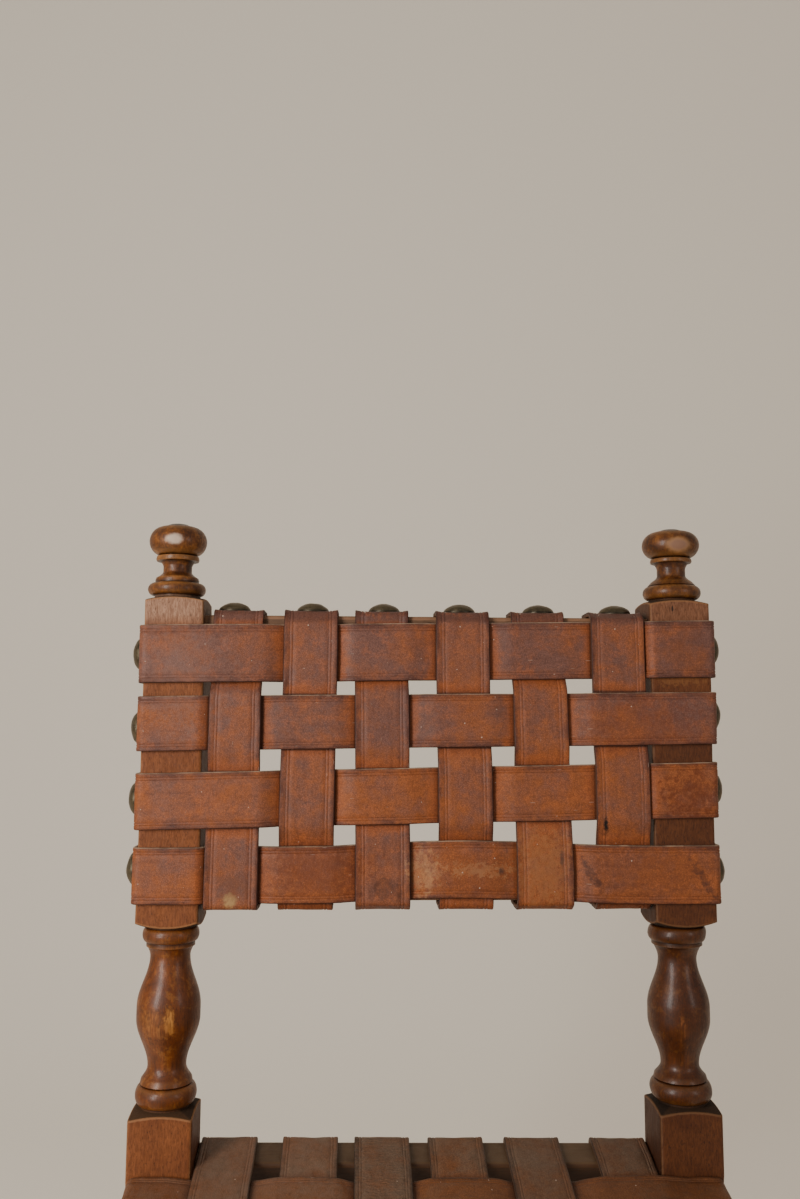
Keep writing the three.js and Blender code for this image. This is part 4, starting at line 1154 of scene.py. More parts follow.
def turned_piece(node, rings, rows):
    """Skins the rings of a post or leg and stores the masks of its finish on the mesh."""
    mesh = skin_rings(f"{node}_turned", rings, post_wood)
    for index, mask_name in enumerate(MASK_NAMES):
        values = np.concatenate([row[index] for row in rows])
        store(mesh, mask_name, np.concatenate([values, [0, 0]]))
    return add_piece(mesh.name, mesh, [node])


def back_post(side):
    name = SIDE_NAMES[side]
    turning = Turning(side)
    bend = blank[:, 1] * -math.tan(RAKE / 2) / math.cos(RAKE)
    turning.block_below(bend, LOWER_BLOCK)
    turning.outline(cut_outline(BALUSTER_CUTS[name], LOWER_BLOCK, BALUSTER))
    low = turning.shoulder(UPPER_BLOCK_BOTTOM, -1)
    turning.block_below(low, UPPER_BLOCK_TOP)
    turning.outline(cut_outline(FINIAL_CUTS[name], UPPER_BLOCK_TOP, FINIAL))
    leg_rings, leg_masks = rear_leg_rings()
    rings = [seat_point(side * POST_X + x, depth, height) for x, depth, height in leg_rings]
    for reach, height in zip(turning.reaches, turning.heights):
        x, behind = (blank_way * reach[:, None]).T
        share_up = np.clip((height - BACK_MIDDLE_HEIGHT) / (UPPER_BLOCK_TOP - BACK_MIDDLE_HEIGHT), 0, 1)
        rings.append(back_point(side * POST_X + x, behind, height - TOP_SINK[name] * share_up))
    zeros = np.zeros(len(blank))
    leg_rows = [[zeros, zeros, zeros, zeros, mask, turning.inner] for mask in leg_masks]
    return turned_piece(f"back_post_{name}", rings, leg_rows + turning.masks)


posts = [back_post(side) for side in SIDE_NAMES]
print("faces on a back post:", len(posts[0].data.polygons))

# %% [markdown]
# The front legs aren't in the picture. They follow the same maker's manner: a turned foot, a
# square block where the stretchers come in, the same baluster, and a square top with a low dome.

# %% The front legs
FRONT_LEG_TOP = SEAT_HEIGHT + FRONT_TOP_RISE
STRETCHER_BLOCK_TOP = TURNED_FOOT + STRETCHER_BLOCK
CROWN_STEPS = 8
FOOT_ROUND = 1


def domed(reach):
    """The height of the low dome on a front leg, at a distance from the leg's axis."""
    return FRONT_LEG_TOP - FRONT_TOP_DOME * (reach / HALF_POST) ** 2


def front_leg(side):
    name = SIDE_NAMES[side]
    turning = Turning(side)
    foot = cut_outline(FOOT_CUTS, 0, TURNED_FOOT)
    turning.outline([(foot[0][0] - FOOT_ROUND, 0), *foot[1:]])
    low = turning.shoulder(TURNED_FOOT, -1)
    turning.block_below(low, STRETCHER_BLOCK_TOP)
    turning.outline(cut_outline(BALUSTER_CUTS[name], STRETCHER_BLOCK_TOP, FRONT_TURNING))
    low = turning.shoulder(STRETCHER_BLOCK_TOP + FRONT_TURNING, -1)
    top_edge = domed(blank_reach) - FILLET
    turning.block(low, top_edge)
    turning.add(blank_reach, top_edge, edge=1.0)
    turning.add(blank_reach - NEAR_FILLET, domed(blank_reach) - NEAR_FILLET, edge=1.0)
    for step in range(CROWN_STEPS):
        reach = (blank_reach - FILLET) * (1 - step / CROWN_STEPS)
        turning.add(reach, domed(reach), edge=0.5 * (step == 0))
    rings = []
    for reach, height in zip(turning.reaches, turning.heights):
        x, depth = (blank_way * reach[:, None]).T
        rings.append(seat_point(side * POST_X + x, FRONT_Y + depth, height))
    return turned_piece(f"front_leg_{name}", rings, turning.masks)


legs = [front_leg(side) for side in SIDE_NAMES]
print("faces on a front leg:", len(legs[0].data.polygons))

# %% [markdown]
# ## Rails and stretchers
# Each rail is a sawn bar with its edges eased by a plane. A bar is skinned over rings of one
# rounded section at even steps, and its edge mask lets the wood wear pale along the edges and at
# both ends.

# %% Bars with eased edges
EDGE_EASE = 2.5
EASE_STEPS = 4
BAR_RING_STEP = 25.0


def eased_section(width, height, ease):
    """Points round a rounded rectangle, how near each is to a corner, and how far it faces up."""
    points, edges, upward = [], [], []
    for across, up, quarter in ((1, 1, 0), (-1, 1, 1), (-1, -1, 2), (1, -1, 3)):
        middle = np.array([across * (width / 2 - ease), up * (height / 2 - ease)])
        for step in range(-1, EASE_STEPS + 2):
            turn = math.pi / 2 * (quarter + min(max(step, 0), EASE_STEPS) / EASE_STEPS)
            way = np.array([math.cos(turn), math.sin(turn)])
            on_face = (step > EASE_STEPS) - (step < 0)
            points.append(middle + ease * way + on_face * EDGE_LINE * np.array([-way[1], way[0]]))
            edges.append(float(on_face == 0))
            upward.append(max(0.0, way[1]))
    return np.array(points), np.array(edges), np.array(upward)


def bar(name, start, end, place, material, width, height):
    """A bar from start to end. place turns (across, along, up) into points of the chair."""
    section, edges, upward = eased_section(width, height, EDGE_EASE)
    length = end - start
    steps = max(3, round(length / BAR_RING_STEP))
    stations = [start + length * step / steps for step in range(steps + 1)]
    rings = [place(section[:, 0], station, section[:, 1]) for station in stations]
    mesh = skin_rings(f"{name}_planed", rings, material)
    ring_masks = [edges if 0 < index < steps else np.ones(len(edges)) for index in range(steps + 1)]
    store(mesh, "edge", np.concatenate([*ring_masks, [0, 0]]))
    store(mesh, "upward", np.concatenate([np.tile(upward, steps + 1), [0, 0]]))
    return add_piece(mesh.name, mesh, [name])


print("bars are eased in", EASE_STEPS, "steps")

# %% The rails of the back
PLANED_OFF = 2.5


def back_rail(name, bottom, height):
    def place(across, along, up):
        return back_point(along, across, bottom + height / 2 + up)

    return bar(name, -INNER_X, INNER_X, place, back_rail_wood, BACK_RAIL_THICKNESS, height)


top_rail = back_rail("back_rail_top", TOP_RAIL_TOP - BACK_RAIL_HEIGHT, BACK_RAIL_HEIGHT)
bottom_rail = back_rail("back_rail_bottom", BOTTOM_RAIL_BOTTOM, BACK_RAIL_HEIGHT - PLANED_OFF)
print("rails of the back:", top_rail.name, bottom_rail.name)

# %% [markdown]
# The rear edge of the seat isn't level in the photograph: it is higher on the left and lower on
# the right. The tilt fades to nothing at the front, and everything that belongs to the seat
# follows it.

# %% The rails of the seat
REAR_LIFT = 0.4
REAR_TILT = 2.9


def seat_tilt(x, depth):
    """How far the seat stands above its even level at a point, in millimetres."""
    share = np.clip(1 - depth / FRONT_Y, 0, 1)
    return share * (REAR_LIFT - REAR_TILT * x / OUTER_X)


def cross_bar(name, depth, level, thickness, height):
    """A bar from side to side whose middle lies at level(x)."""
    def place(across, along, up):
        return seat_point(along, depth + across, level(along) + up)

    reach = INNER_X - FIT_GAP
    return bar(name, -reach, reach, place, cross_rail_wood, thickness, height)


def cross_seat_rail(name, depth):
    return cross_bar(
        name, depth, lambda x: SEAT_RAIL_MIDDLE + seat_tilt(x, depth), SEAT_RAIL_THICKNESS, SEAT_RAIL_HEIGHT
    )


def side_seat_rail(side):
    x = side * SIDE_RAIL_X

    def place(across, along, up):
        return seat_point(x + across, along, SEAT_RAIL_MIDDLE + seat_tilt(x, along) + up)

    start, end = FRONT_Y + HALF_POST + FIT_GAP, -HALF_POST - FIT_GAP
    name = f"seat_rail_{SIDE_NAMES[side]}"
    return bar(name, start, end, place, side_rail_wood, SEAT_RAIL_THICKNESS, SEAT_RAIL_HEIGHT)


seat_rails = [
    cross_seat_rail("seat_rail_rear", REAR_RAIL_Y),
    cross_seat_rail("seat_rail_front", FRONT_RAIL_Y),
    *(side_seat_rail(side) for side in SIDE_NAMES),
]
print("rails of the seat:", [rail.name for rail in seat_rails])

# %% Stretchers
LATHE_SIDES = 40


def leg_front(height):
    """How deep the front face of a back leg stands, where a side stretcher ends."""
    return leg_middle(height) - leg_depth(height) / 2 - FIT_GAP


def side_stretcher(side):
    start, end = FRONT_Y + HALF_POST + FIT_GAP, float(leg_front(SIDE_STRETCHER_LEVEL))

    def place(across, along, up):
        slant = leg_front(SIDE_STRETCHER_LEVEL + up) - end
        near_leg = (along - start) / (end - start)
        return seat_point(side * POST_X + across, along + near_leg * slant, SIDE_STRETCHER_LEVEL + up)

    name = f"stretcher_{SIDE_NAMES[side]}"
    return bar(name, start, end, place, side_rail_wood, STRETCHER_WIDTH, STRETCHER_HEIGHT)


def rear_stretcher(name):
    depth = leg_middle(CROSS_STRETCHER_LEVEL)
    return cross_bar(name, depth, lambda x: CROSS_STRETCHER_LEVEL, STRETCHER_WIDTH, STRETCHER_HEIGHT)


def front_stretcher(name):
    """Turned from end to end, so its rings stand round the long axis."""
    half = INNER_X - FIT_GAP
    rows = cut_outline(STRETCHER_CUTS, -half, 2 * half)
    turns = 2 * math.pi * np.arange(LATHE_SIDES) / LATHE_SIDES
    rings = [
        seat_point(along, FRONT_Y + reach * np.cos(turns), CROSS_STRETCHER_LEVEL + reach * np.sin(turns))
        for reach, along in rows
    ]
    mesh = skin_rings(f"{name}_turned", rings, stretcher_wood)
    store(mesh, "turned", np.ones(len(mesh.vertices)))
    return add_piece(mesh.name, mesh, [name])


stretchers = [side_stretcher(side) for side in SIDE_NAMES]
stretchers += [rear_stretcher("stretcher_rear"), front_stretcher("stretcher_front")]
print("stretchers:", [stretcher.name for stretcher in stretchers])

# %% [markdown]
# ## A strap pulled tight
# A strap runs straight from one thing that it touches to the next and bends round each: the
# eased edges of the wood, and the edges of the straps that it crosses. So its path is a string
# pulled over a row of round guides, worked out flat, with one coordinate along the strap and
# one outwards. Leather is stiff, so the corners are then smoothed over a few millimetres.

# %% The path of a taut strap
ARC_STEP = math.radians(6)
WEAVE_RELIEF = 1
PATH_STEP = 0.5
FLAT_SPACING = 2.6
TURN_SPACING = math.radians(9)
WEAVE_SPREAD = 2.6
EDGE_SPREAD = 0.8
BLEND_LENGTH = 9.0


def guide(along, out, radius=0.0):
    return np.array([along, out], dtype=float), radius


def edge_guide(along, out, along_side, out_side):
    """The round edge of a rail or post that a strap turns over."""
    return guide(along - along_side * EDGE_EASE, out - out_side * EDGE_EASE, EDGE_EASE + LAYER)


def crossing_guides(middle, out, over, limit):
    """Over both edges of the strap that is crossed, or straight behind it, and never past the limit."""
    reach = HALF_STRAP + WEAVE_RELIEF
    level, radius = (out + WEAVE_STEP, LAYER) if over else (out - WEAVE_STEP, 0.0)
    return [guide(min(max(middle + way * reach, -limit), limit), level - radius, radius) for way in (-1, 1)]


def woven(crossings, limit=math.inf):
    """The guides of all crossings (middle, out, over), and the middles of the straps on top."""
    guides = [end for crossing in crossings for end in crossing_guides(*crossing, limit)]
    return guides, [middle for middle, _, over in crossings if not over]


def wrapped(low, high, thickness, level, wrap, weave):
    """Guides round the wood at both ends, with the weave between them."""
    return [
        guide(low - LAYER, level - wrap),
        edge_guide(low, level, -1, 1),
        edge_guide(low + thickness, level, 1, 1),
        *weave,
        edge_guide(high - thickness, level, -1, 1),
        edge_guide(high, level, 1, 1),
        guide(high + LAYER, level - wrap),
    ]


def taut_path(guides):
    """Points of the string, with every turn as a fine arc."""
    normals = []
    for (start, start_radius), (end, end_radius) in zip(guides, guides[1:]):
        way = end - start
        length = np.hypot(*way)
        way = way / length
        tilt = (start_radius - end_radius) / length
        normals.append(way * tilt + np.array([-way[1], way[0]]) * math.sqrt(1 - tilt**2))
    points = [guides[0][0]]
    for (centre, radius), arriving, leaving in zip(guides[1:], normals, normals[1:]):
        turn = math.atan2(arriving[0] * leaving[1] - arriving[1] * leaving[0], arriving @ leaving)
        start = math.atan2(arriving[1], arriving[0])
        steps = max(1, math.ceil(abs(turn) / ARC_STEP)) if radius else 1
        for step in range(steps + 1 if radius else 1):
            angle = start + turn * step / steps
            points.append(centre + radius * np.array([math.cos(angle), math.sin(angle)]))
    points.append(guides[-1][0])
    return np.array(points)


def resample(points, stations, distances):
    return np.stack([np.interp(stations, distances, axis) for axis in points.T], axis=1)


def soften(points, spread):
    """Smooths evenly spaced points by a bell curve of the given spread in millimetres."""
    reach = math.ceil(3 * spread / PATH_STEP)
    bell = np.exp(-0.5 * (np.arange(-reach, reach + 1) * PATH_STEP / spread) ** 2)
    lead_in = points[0] + (points[0] - points[1]) * np.arange(reach, 0, -1)[:, None]
    lead_out = points[-1] + (points[-1] - points[-2]) * np.arange(1, reach + 1)[:, None]
    padded = np.concatenate([lead_in, points, lead_out])
    return np.stack([np.convolve(axis, bell / bell.sum(), "valid") for axis in padded.T], axis=1)


def strap_path(guides, low, high, front=-math.inf):
    """A softened path, with more points where it turns. The weave lies between low and high."""
    corners = taut_path(guides)
    steps = np.hypot(*np.diff(corners, axis=0).T)
    distances = np.concatenate([[0], np.cumsum(steps)])
    even = resample(corners, np.arange(0, distances[-1], PATH_STEP), distances)
    even = np.concatenate([even, corners[-1:]])
    free = np.clip(np.minimum(even[:, 0] - low, high - even[:, 0]) / BLEND_LENGTH, 0, 1)
    free = np.where(even[:, 1] > front, free, 0)[:, None]
    path = soften(even, WEAVE_SPREAD) * free + soften(even, EDGE_SPREAD) * (1 - free)
    ways = np.diff(path, axis=0)
    lengths = np.hypot(*ways.T)
    angles = np.unwrap(np.arctan2(ways[:, 1], ways[:, 0]))
    turning = np.concatenate([np.abs(np.diff(angles)), [0]])
    need = np.concatenate([[0], np.cumsum(lengths / FLAT_SPACING + turning / TURN_SPACING)])
    count = max(8, math.ceil(need[-1]))
    return resample(path, np.linspace(0, need[-1], count + 1), need)


test_path = strap_path([guide(0, 10), edge_guide(50, 10, 1, 1), guide(50 + LAYER, -20)], 0, 50)
print("points on a short path:", len(test_path))

# %% [markdown]
# ## The section of a strap
# The section is drawn once for each kind of strap as a closed loop: a grain side with two pressed
# crease lines along each edge, thin rounded rims, and a plain flesh side. Each point knows how far
# across the strap it lies, how high in the leather's thickness, which side it is on, and how
# deeply it is pressed. The creases of the uprights stand further in from the edge.

# %% The section's points
UPRIGHT_CREASES = (4.9, 7.3)
CROSS_CREASES = (3.4, 5.4)
CREASE_WIDTH = 0.7
CREASE_DEPTH = 0.35
RIM_ROUND = 0.9
RIM_TURNS = (20, 60)
NEAR_RIM = 2.0
FLESH_INSET = 0.4
MIDDLE_STEPS = 10
FLESH_STEPS = 8
SECTION_VALUES = ("across", "lift", "grain_side", "pressed")


def strap_section(name, creases):
    """A closed loop of points that carry the section's values."""
    top, half = STRAP_THICKNESS / 2, HALF_STRAP
    insets = [RIM_ROUND, NEAR_RIM]
    for line in creases:
        insets += [line - CREASE_WIDTH, line, line + CREASE_WIDTH]
    grain_side = []
    for inset in sorted(insets):
        pressed = max(0.0, 1 - min(abs(inset - line) for line in creases) / CREASE_WIDTH)
        grain_side.append((half - inset, top - CREASE_DEPTH * pressed, 1.0, pressed))
    flat = grain_side[-1][0]
    middle = [(x, top, 1.0, 0.0) for x in np.linspace(flat, -flat, MIDDLE_STEPS + 1)[1:-1]]
    rim = [(half, -top + RIM_ROUND / 2, 0.5, 0.0)]
    for turn in RIM_TURNS:
        across, lift = math.cos(math.radians(turn)), math.sin(math.radians(turn))
        rim.append((half - RIM_ROUND * (1 - across), top - RIM_ROUND * (1 - lift), 1.0, 0.0))
    other, other_rim = ([(-x, *rest) for x, *rest in reversed(part)] for part in (grain_side, rim))
    flesh_half = half - FLESH_INSET
    flesh = [(x, -top, 0.0, 0.0) for x in np.linspace(-flesh_half, flesh_half, FLESH_STEPS + 1)]
    points = np.array([*grain_side, *middle, *other, *other_rim, *flesh, *rim])
    mesh = bpy.data.meshes.new(name)
    count = len(points)
    mesh.from_pydata(
        [(across * MM, lift * MM, 0) for across, lift, _, _ in points],
        [(index, (index + 1) % count) for index in range(count)],
        [],
    )
    for index, value_name in enumerate(SECTION_VALUES):
        store(mesh, value_name, points[:, index])
    return bpy.data.objects.new(name, mesh)


upright_section = strap_section("upright_section", UPRIGHT_CREASES)
cross_section = strap_section("cross_section", CROSS_CREASES)
print("points in a section:", len(cross_section.data.vertices))

# %% [markdown]
# ## A tree that lays a strap along its path
# The path is a line of points that carry their own frame: the way outwards and the way across.
# The tree sweeps the section along it, then puts each point at the path's centre plus its place
# across and outwards. Noise in the tree bends the leather a little and makes the cut edges
# wander, and the ends of the strap curl up where the path says so.

# %% Helpers for geometry trees
GEOMETRY, OBJECT, MATERIAL = "NodeSocketGeometry", "NodeSocketObject", "NodeSocketMaterial"


def new_tree(name, inputs):
    """A geometry tree. Returns it, the values of its inputs and the inputs' identifiers."""
    tree = bpy.data.node_groups.new(name, "GeometryNodeTree")
    tree.interface.new_socket("Geometry", in_out="OUTPUT", socket_type=GEOMETRY)
    inputs = {"Geometry": GEOMETRY, **inputs}
    identifiers = add_inputs(tree, inputs)
    given = tree.nodes.new("NodeGroupInput").outputs
    return tree, [Value(given[socket_name]) for socket_name in inputs], identifiers


def named(tree, name, kind="FLOAT"):
    return add_node(tree, "GeometryNodeInputNamedAttribute", name, data_type=kind)


def keep_named(geometry, name, value, kind="FLOAT"):
    """Stores a value at each point, so that it outlives the next step."""
    return add_node(
        geometry.tree, "GeometryNodeStoreNamedAttribute", geometry, None, name, value,
        data_type=kind, domain="POINT",
    )


def finish_tree(geometry, material):
    tree = geometry.tree
    geometry = add_node(tree, "GeometryNodeRealizeInstances", geometry)
    geometry = add_node(tree, "GeometryNodeSetMaterial", geometry, None, material)
    feed(tree.nodes.new("NodeGroupOutput").inputs[0], geometry)


def grow(name, source_mesh, tree, identifiers, values):
    """Runs a tree on a mesh and returns the result as a plain mesh."""
    source = put_in_scene(f"{name}_source", source_mesh)
    modifier = source.modifiers.new(tree.name, "NODES")
    modifier.node_group = tree
    for key, value in values.items():
        modifier[identifiers[key]] = value
    evaluated = source.evaluated_get(bpy.context.evaluated_depsgraph_get())
    mesh = bpy.data.meshes.new_from_object(evaluated)
    mesh.name = name
    source.modifiers.remove(modifier)
    bpy.data.objects.remove(source)
    face_outwards(mesh)
    return mesh


print("helpers for geometry trees are ready")

# %% The strap tree
t, (line, section, lump, lump_size, wander, curl, cup, seed, tone, material), strap_ids = new_tree(
    "leather_strap",
    {
        "Section": OBJECT, "Lump": 0.0005, "Lump Size": 0.022, "Wander": 0.0004, "Curl": 0.0013,
        "Cup": 0.0004, "Seed": 0.0, "Tone": 0.5, "Material": MATERIAL,
    },
)
strap_tree = t
curve = add_node(t, "GeometryNodeMeshToCurve", line)
curve = keep_named(curve, "centre", add_node(t, "GeometryNodeInputPosition"), "FLOAT_VECTOR")
profile = add_node(t, "GeometryNodeMeshToCurve", add_node(t, "GeometryNodeObjectInfo", section, out=4))
swept = add_node(t, "GeometryNodeCurveToMesh", curve, profile, None, True)
centre, out_way, side_way = (named(t, way, "FLOAT_VECTOR") for way in ("centre", "out_way", "side_way"))
across = named(t, "across") * named(t, "widen") * MM
share_across = across / (HALF_STRAP * MM)
squared = share_across * share_across
fourth = squared * squared
seed_shift = add_node(t, "ShaderNodeCombineXYZ", seed * 0.37, seed, 0.0)
lumps = noise(side_way * across + centre + seed_shift, 1.0 / lump_size, 2.0, 0.5) - 0.5
edge_way = noise(centre + seed_shift, 28.0, 3.0, 0.6) - 0.5
outwards = lumps * lump * 2.0 + named(t, "lift") * MM
outwards = outwards + fourth * named(t, "curl") * curl + fourth * named(t, "cup") * cup
sideways = edge_way * wander * 2.0 + across
place = side_way * sideways + out_way * outwards + centre
strap_mesh = add_node(t, "GeometryNodeSetPosition", swept, None, place)
finish_tree(keep_named(strap_mesh, "tone", tone), material)
print("inputs of the strap tree:", list(strap_ids))

# %% One strap from its path
LEATHERS = {"back_leather": back_leather, "seat_leather": seat_leather}
STRAP_VALUES = ("along", "open_by", "curl", "cup", "wrinkle", "widen", "lit_rim")
FAR_FROM_COVER = 40.0


def unit(ways):
    return ways / np.linalg.norm(ways, axis=1)[:, None]


def lay_strap(name, path, place, values, tone, seed, section, slot, lump=0.5):
    """A strap whose flat path is set in space by place(along, out, off)."""
    along, out = path.T
    centre = place(along, out, 0)
    side_way = unit(place(along, out, HALF_STRAP) - place(along, out, -HALF_STRAP))
    ways = unit(np.gradient(path, axis=0))
    out_way = place(along - ways[:, 1], out + ways[:, 0], 0) - centre
    out_way = unit(out_way - (out_way * side_way).sum(axis=1)[:, None] * side_way)
    count = len(path)
    line = bpy.data.meshes.new(f"{name}_path")
    line.from_pydata((centre * MM).tolist(), [(index, index + 1) for index in range(count - 1)], [])
    store(line, "out_way", out_way)
    store(line, "side_way", side_way)
    run = np.concatenate([[0], np.cumsum(np.linalg.norm(np.diff(centre, axis=0), axis=1))])
    values = {**values, "along": run}
    for value_name in STRAP_VALUES:
        store(line, value_name, values.get(value_name, 0) * np.ones(count))
    mesh = grow(f"{name}_leather", line, strap_tree, strap_ids, {
        "Section": section, "Seed": float(seed), "Tone": tone, "Material": LEATHERS[slot], "Lump": lump * MM,
    })
    return add_piece(mesh.name, mesh, [name])


def open_distance(along, crossings):
    """How far each point lies from the nearest strap that covers this one."""
    beyond = [np.abs(along - middle) - HALF_STRAP for middle in crossings]
    return np.clip(np.min(beyond, axis=0), 0, FAR_FROM_COVER)


print("values on a path:", STRAP_VALUES)

# %% [markdown]
# ## Where each strap lies
# Nobody lays straps by ruler. Each is a little off its even place, some uprights lean and the
# cross straps climb to one side, as in the photograph. The offsets are shares of the gap that
# is left between two straps.

# %% Places of the straps
BOTTOM_WRAP, TOP_WRAP, SIDE_WRAP, SEAT_WRAP = 34, 27, 34, 46
MID_BULGE, EDGE_BULGE, SEAT_SAG = 5.2, 2.0, 9.0


def strap_places(start, end, offsets):
    """Middles of straps laid side by side from start to end."""
    way = 1 if end > start else -1
    gap = (abs(end - start) - len(offsets) * STRAP_WIDTH) / (len(offsets) - 1)
    return [
        start + way * (HALF_STRAP + index * (STRAP_WIDTH + gap)) + share * gap
        for index, share in enumerate(offsets)
    ]


back_side, seat_side = INNER_X - BACK_SIDE_MARGIN, INNER_X - SEAT_SIDE_MARGIN
upright_places = strap_places(-back_side, back_side, UPRIGHT_OFFSETS)
row_places = strap_places(TOP_RAIL_TOP - ROW_TOP_MARGIN, BOTTOM_RAIL_BOTTOM, ROW_OFFSETS)
long_places = strap_places(-seat_side, seat_side, LONG_OFFSETS)
seat_end = HALF_POST + SEAT_END_MARGIN
cross_places = strap_places(-seat_end, FRONT_Y + seat_end, CROSS_OFFSETS)
UPRIGHTS, ROWS = range(len(upright_places)), range(len(row_places))


def upright_x(upright, height):
    share = np.clip((row_places[0] - height) / (row_places[0] - row_places[-1]), 0, 1)
    at_foot, at_top = UPRIGHT_SHIFTS[upright]
    at_foot += UPRIGHT_LEANS[upright] * UPRIGHT_GAP
    return upright_places[upright] + at_top + (at_foot - at_top) * share


def row_height(row, x):
    x = np.clip(x, -OUTER_X, OUTER_X)
    hump = ROW_HUMPS[row] * np.exp(-(((x - HUMP_PLACE) / HUMP_SPREAD) ** 2))
    climb = ROW_RISES[row] * ROW_GAP * x / (2 * POST_X)
    return row_places[row] + climb + hump + ROW_LIFTS[row]


def weave_out(row, upright):
    """How far forward of the posts' axes the middle of the weave lies at one crossing."""
    end_row, end_upright = row in (0, len(row_places) - 1), upright in (0, len(upright_places) - 1)
    if end_row:
        bulge = EDGE_BULGE if end_upright else 0
    else:
        bulge = MID_BULGE if end_upright else MID_BULGE / 2
    return BACK_RAIL_THICKNESS / 2 + LAYER + WEAVE_STEP + bulge


def seat_hang(x, depth):
    """How far the woven seat hangs under its even level at a point."""
    half_width = SIDE_RAIL_X - SEAT_RAIL_THICKNESS / 2
    back, front = REAR_RAIL_Y - SEAT_RAIL_THICKNESS / 2, FRONT_RAIL_Y + SEAT_RAIL_THICKNESS / 2
    across = np.clip(x / half_width, -1, 1)
    along = np.clip((2 * depth - back - front) / (back - front), -1, 1)
    return SEAT_SAG * (1 - across**2) * (1 - along**2) - seat_tilt(x, depth)


print("upright straps at x:", np.round(upright_places, 1))

# %% Upright straps of the back
UPRIGHT_TONES = (0.45, 0.4, 0.5, 0.5, 0.65, 0.6)
BOTTOM_SLACK = 3
CURL_START, CURL_LENGTH = 6, 8


def upright_strap(upright):
    face = BACK_RAIL_THICKNESS / 2
    loose_end = BOTTOM_RAIL_BOTTOM - BOTTOM_SLACK
    crossings = []
    for row in reversed(ROWS):
        height = float(row_height(row, upright_x(upright, row_places[row])))
        crossings.append((height, weave_out(row, upright), (row + upright) % 2 == 1))
    weave, under = woven(crossings)
    guides = [
        guide(BOTTOM_RAIL_BOTTOM + BOTTOM_WRAP, -face - LAYER),
        edge_guide(loose_end, -face, -1, -1),
        edge_guide(loose_end, face, -1, 1),
        *weave,
        edge_guide(TOP_RAIL_TOP, face, 1, 1),
        guide(TOP_RAIL_TOP + LAYER, face - TOP_WRAP),
    ]

    def place(height, out, off):
        return back_point(upright_x(upright, height) + off, -out, height)

    path = strap_path(guides, BOTTOM_RAIL_BOTTOM, TOP_RAIL_TOP, front=0)
    in_front = path[:, 1] > 0
    on_top = np.clip((path[:, 0] - TOP_RAIL_TOP + CURL_START) / CURL_LENGTH, 0, 1)
    values = {
        "open_by": np.where(in_front, open_distance(path[:, 0], under), FAR_FROM_COVER),
        "curl": on_top,
        "cup": in_front * (1 - on_top),
        "wrinkle": 0.15,
        "widen": np.interp(path[:, 0], (row_places[-1], row_places[0]), UPRIGHT_WIDTHS[upright]),
    }
    return lay_strap(
        f"back_strap_upright_{upright + 1}", path, place, values, UPRIGHT_TONES[upright], upright + 1,
        upright_section, "back_leather",
    )


back_uprights = [upright_strap(upright) for upright in UPRIGHTS]
print("faces on an upright strap:", len(back_uprights[0].data.polygons))

# %% Cross straps of the back
ROW_TONES = (0.34, 0.4, 0.7, 0.6)
POST_CLEARANCE = 6.5
PAST_THE_POST = 9


def row_strap(row):
    crossings = [
        (float(upright_x(upright, row_places[row])), weave_out(row, upright), (row + upright) % 2 == 0)
        for upright in UPRIGHTS
    ]
    weave, under = woven(crossings, INNER_X + EDGE_EASE - POST_CLEARANCE)
    if crossings[0][2]:
        weave = weave[1:]
    if crossings[-1][2]:
        weave = weave[:-1]
    guides = wrapped(-OUTER_X, OUTER_X, POST_SIDE, HALF_POST, SIDE_WRAP, weave)

    def place(x, out, off):
        return back_point(x, -out, row_height(row, x) + off)

    path = strap_path(guides, -INNER_X - PAST_THE_POST, INNER_X + PAST_THE_POST)
    values = {
        "open_by": open_distance(path[:, 0], under),
        "cup": np.abs(path[:, 0]) < INNER_X,
        "wrinkle": 0.15,
        "lit_rim": 1,
        "widen": np.interp(path[:, 0], (-OUTER_X, OUTER_X), ROW_WIDTHS[row]),
    }
    name = f"back_strap_cross_{row + 1}"
    return lay_strap(name, path, place, values, ROW_TONES[row], 11 + row, cross_section, "back_leather")


back_rows = [row_strap(row) for row in ROWS]
print("faces on a cross strap:", len(back_rows[0].data.polygons))

# %% [markdown]
# ## The seat's straps
# The seat is woven in the same way over the four rails and hangs a little in the middle. Its
# leather is older and duller. The third strap from the left is rough, with wrinkles across it.

# %% Seat straps
LONG_TONES = (0.25, 0.3, 0.0, 0.15, 0.2, 0.15)
CROSS_TONES = (0.95, 0.8, 0.7, 0.85, 0.75, 0.8)
WRINKLED_STRAP = 2
HALF_RAIL = SEAT_RAIL_THICKNESS / 2
WRAP_START = 9


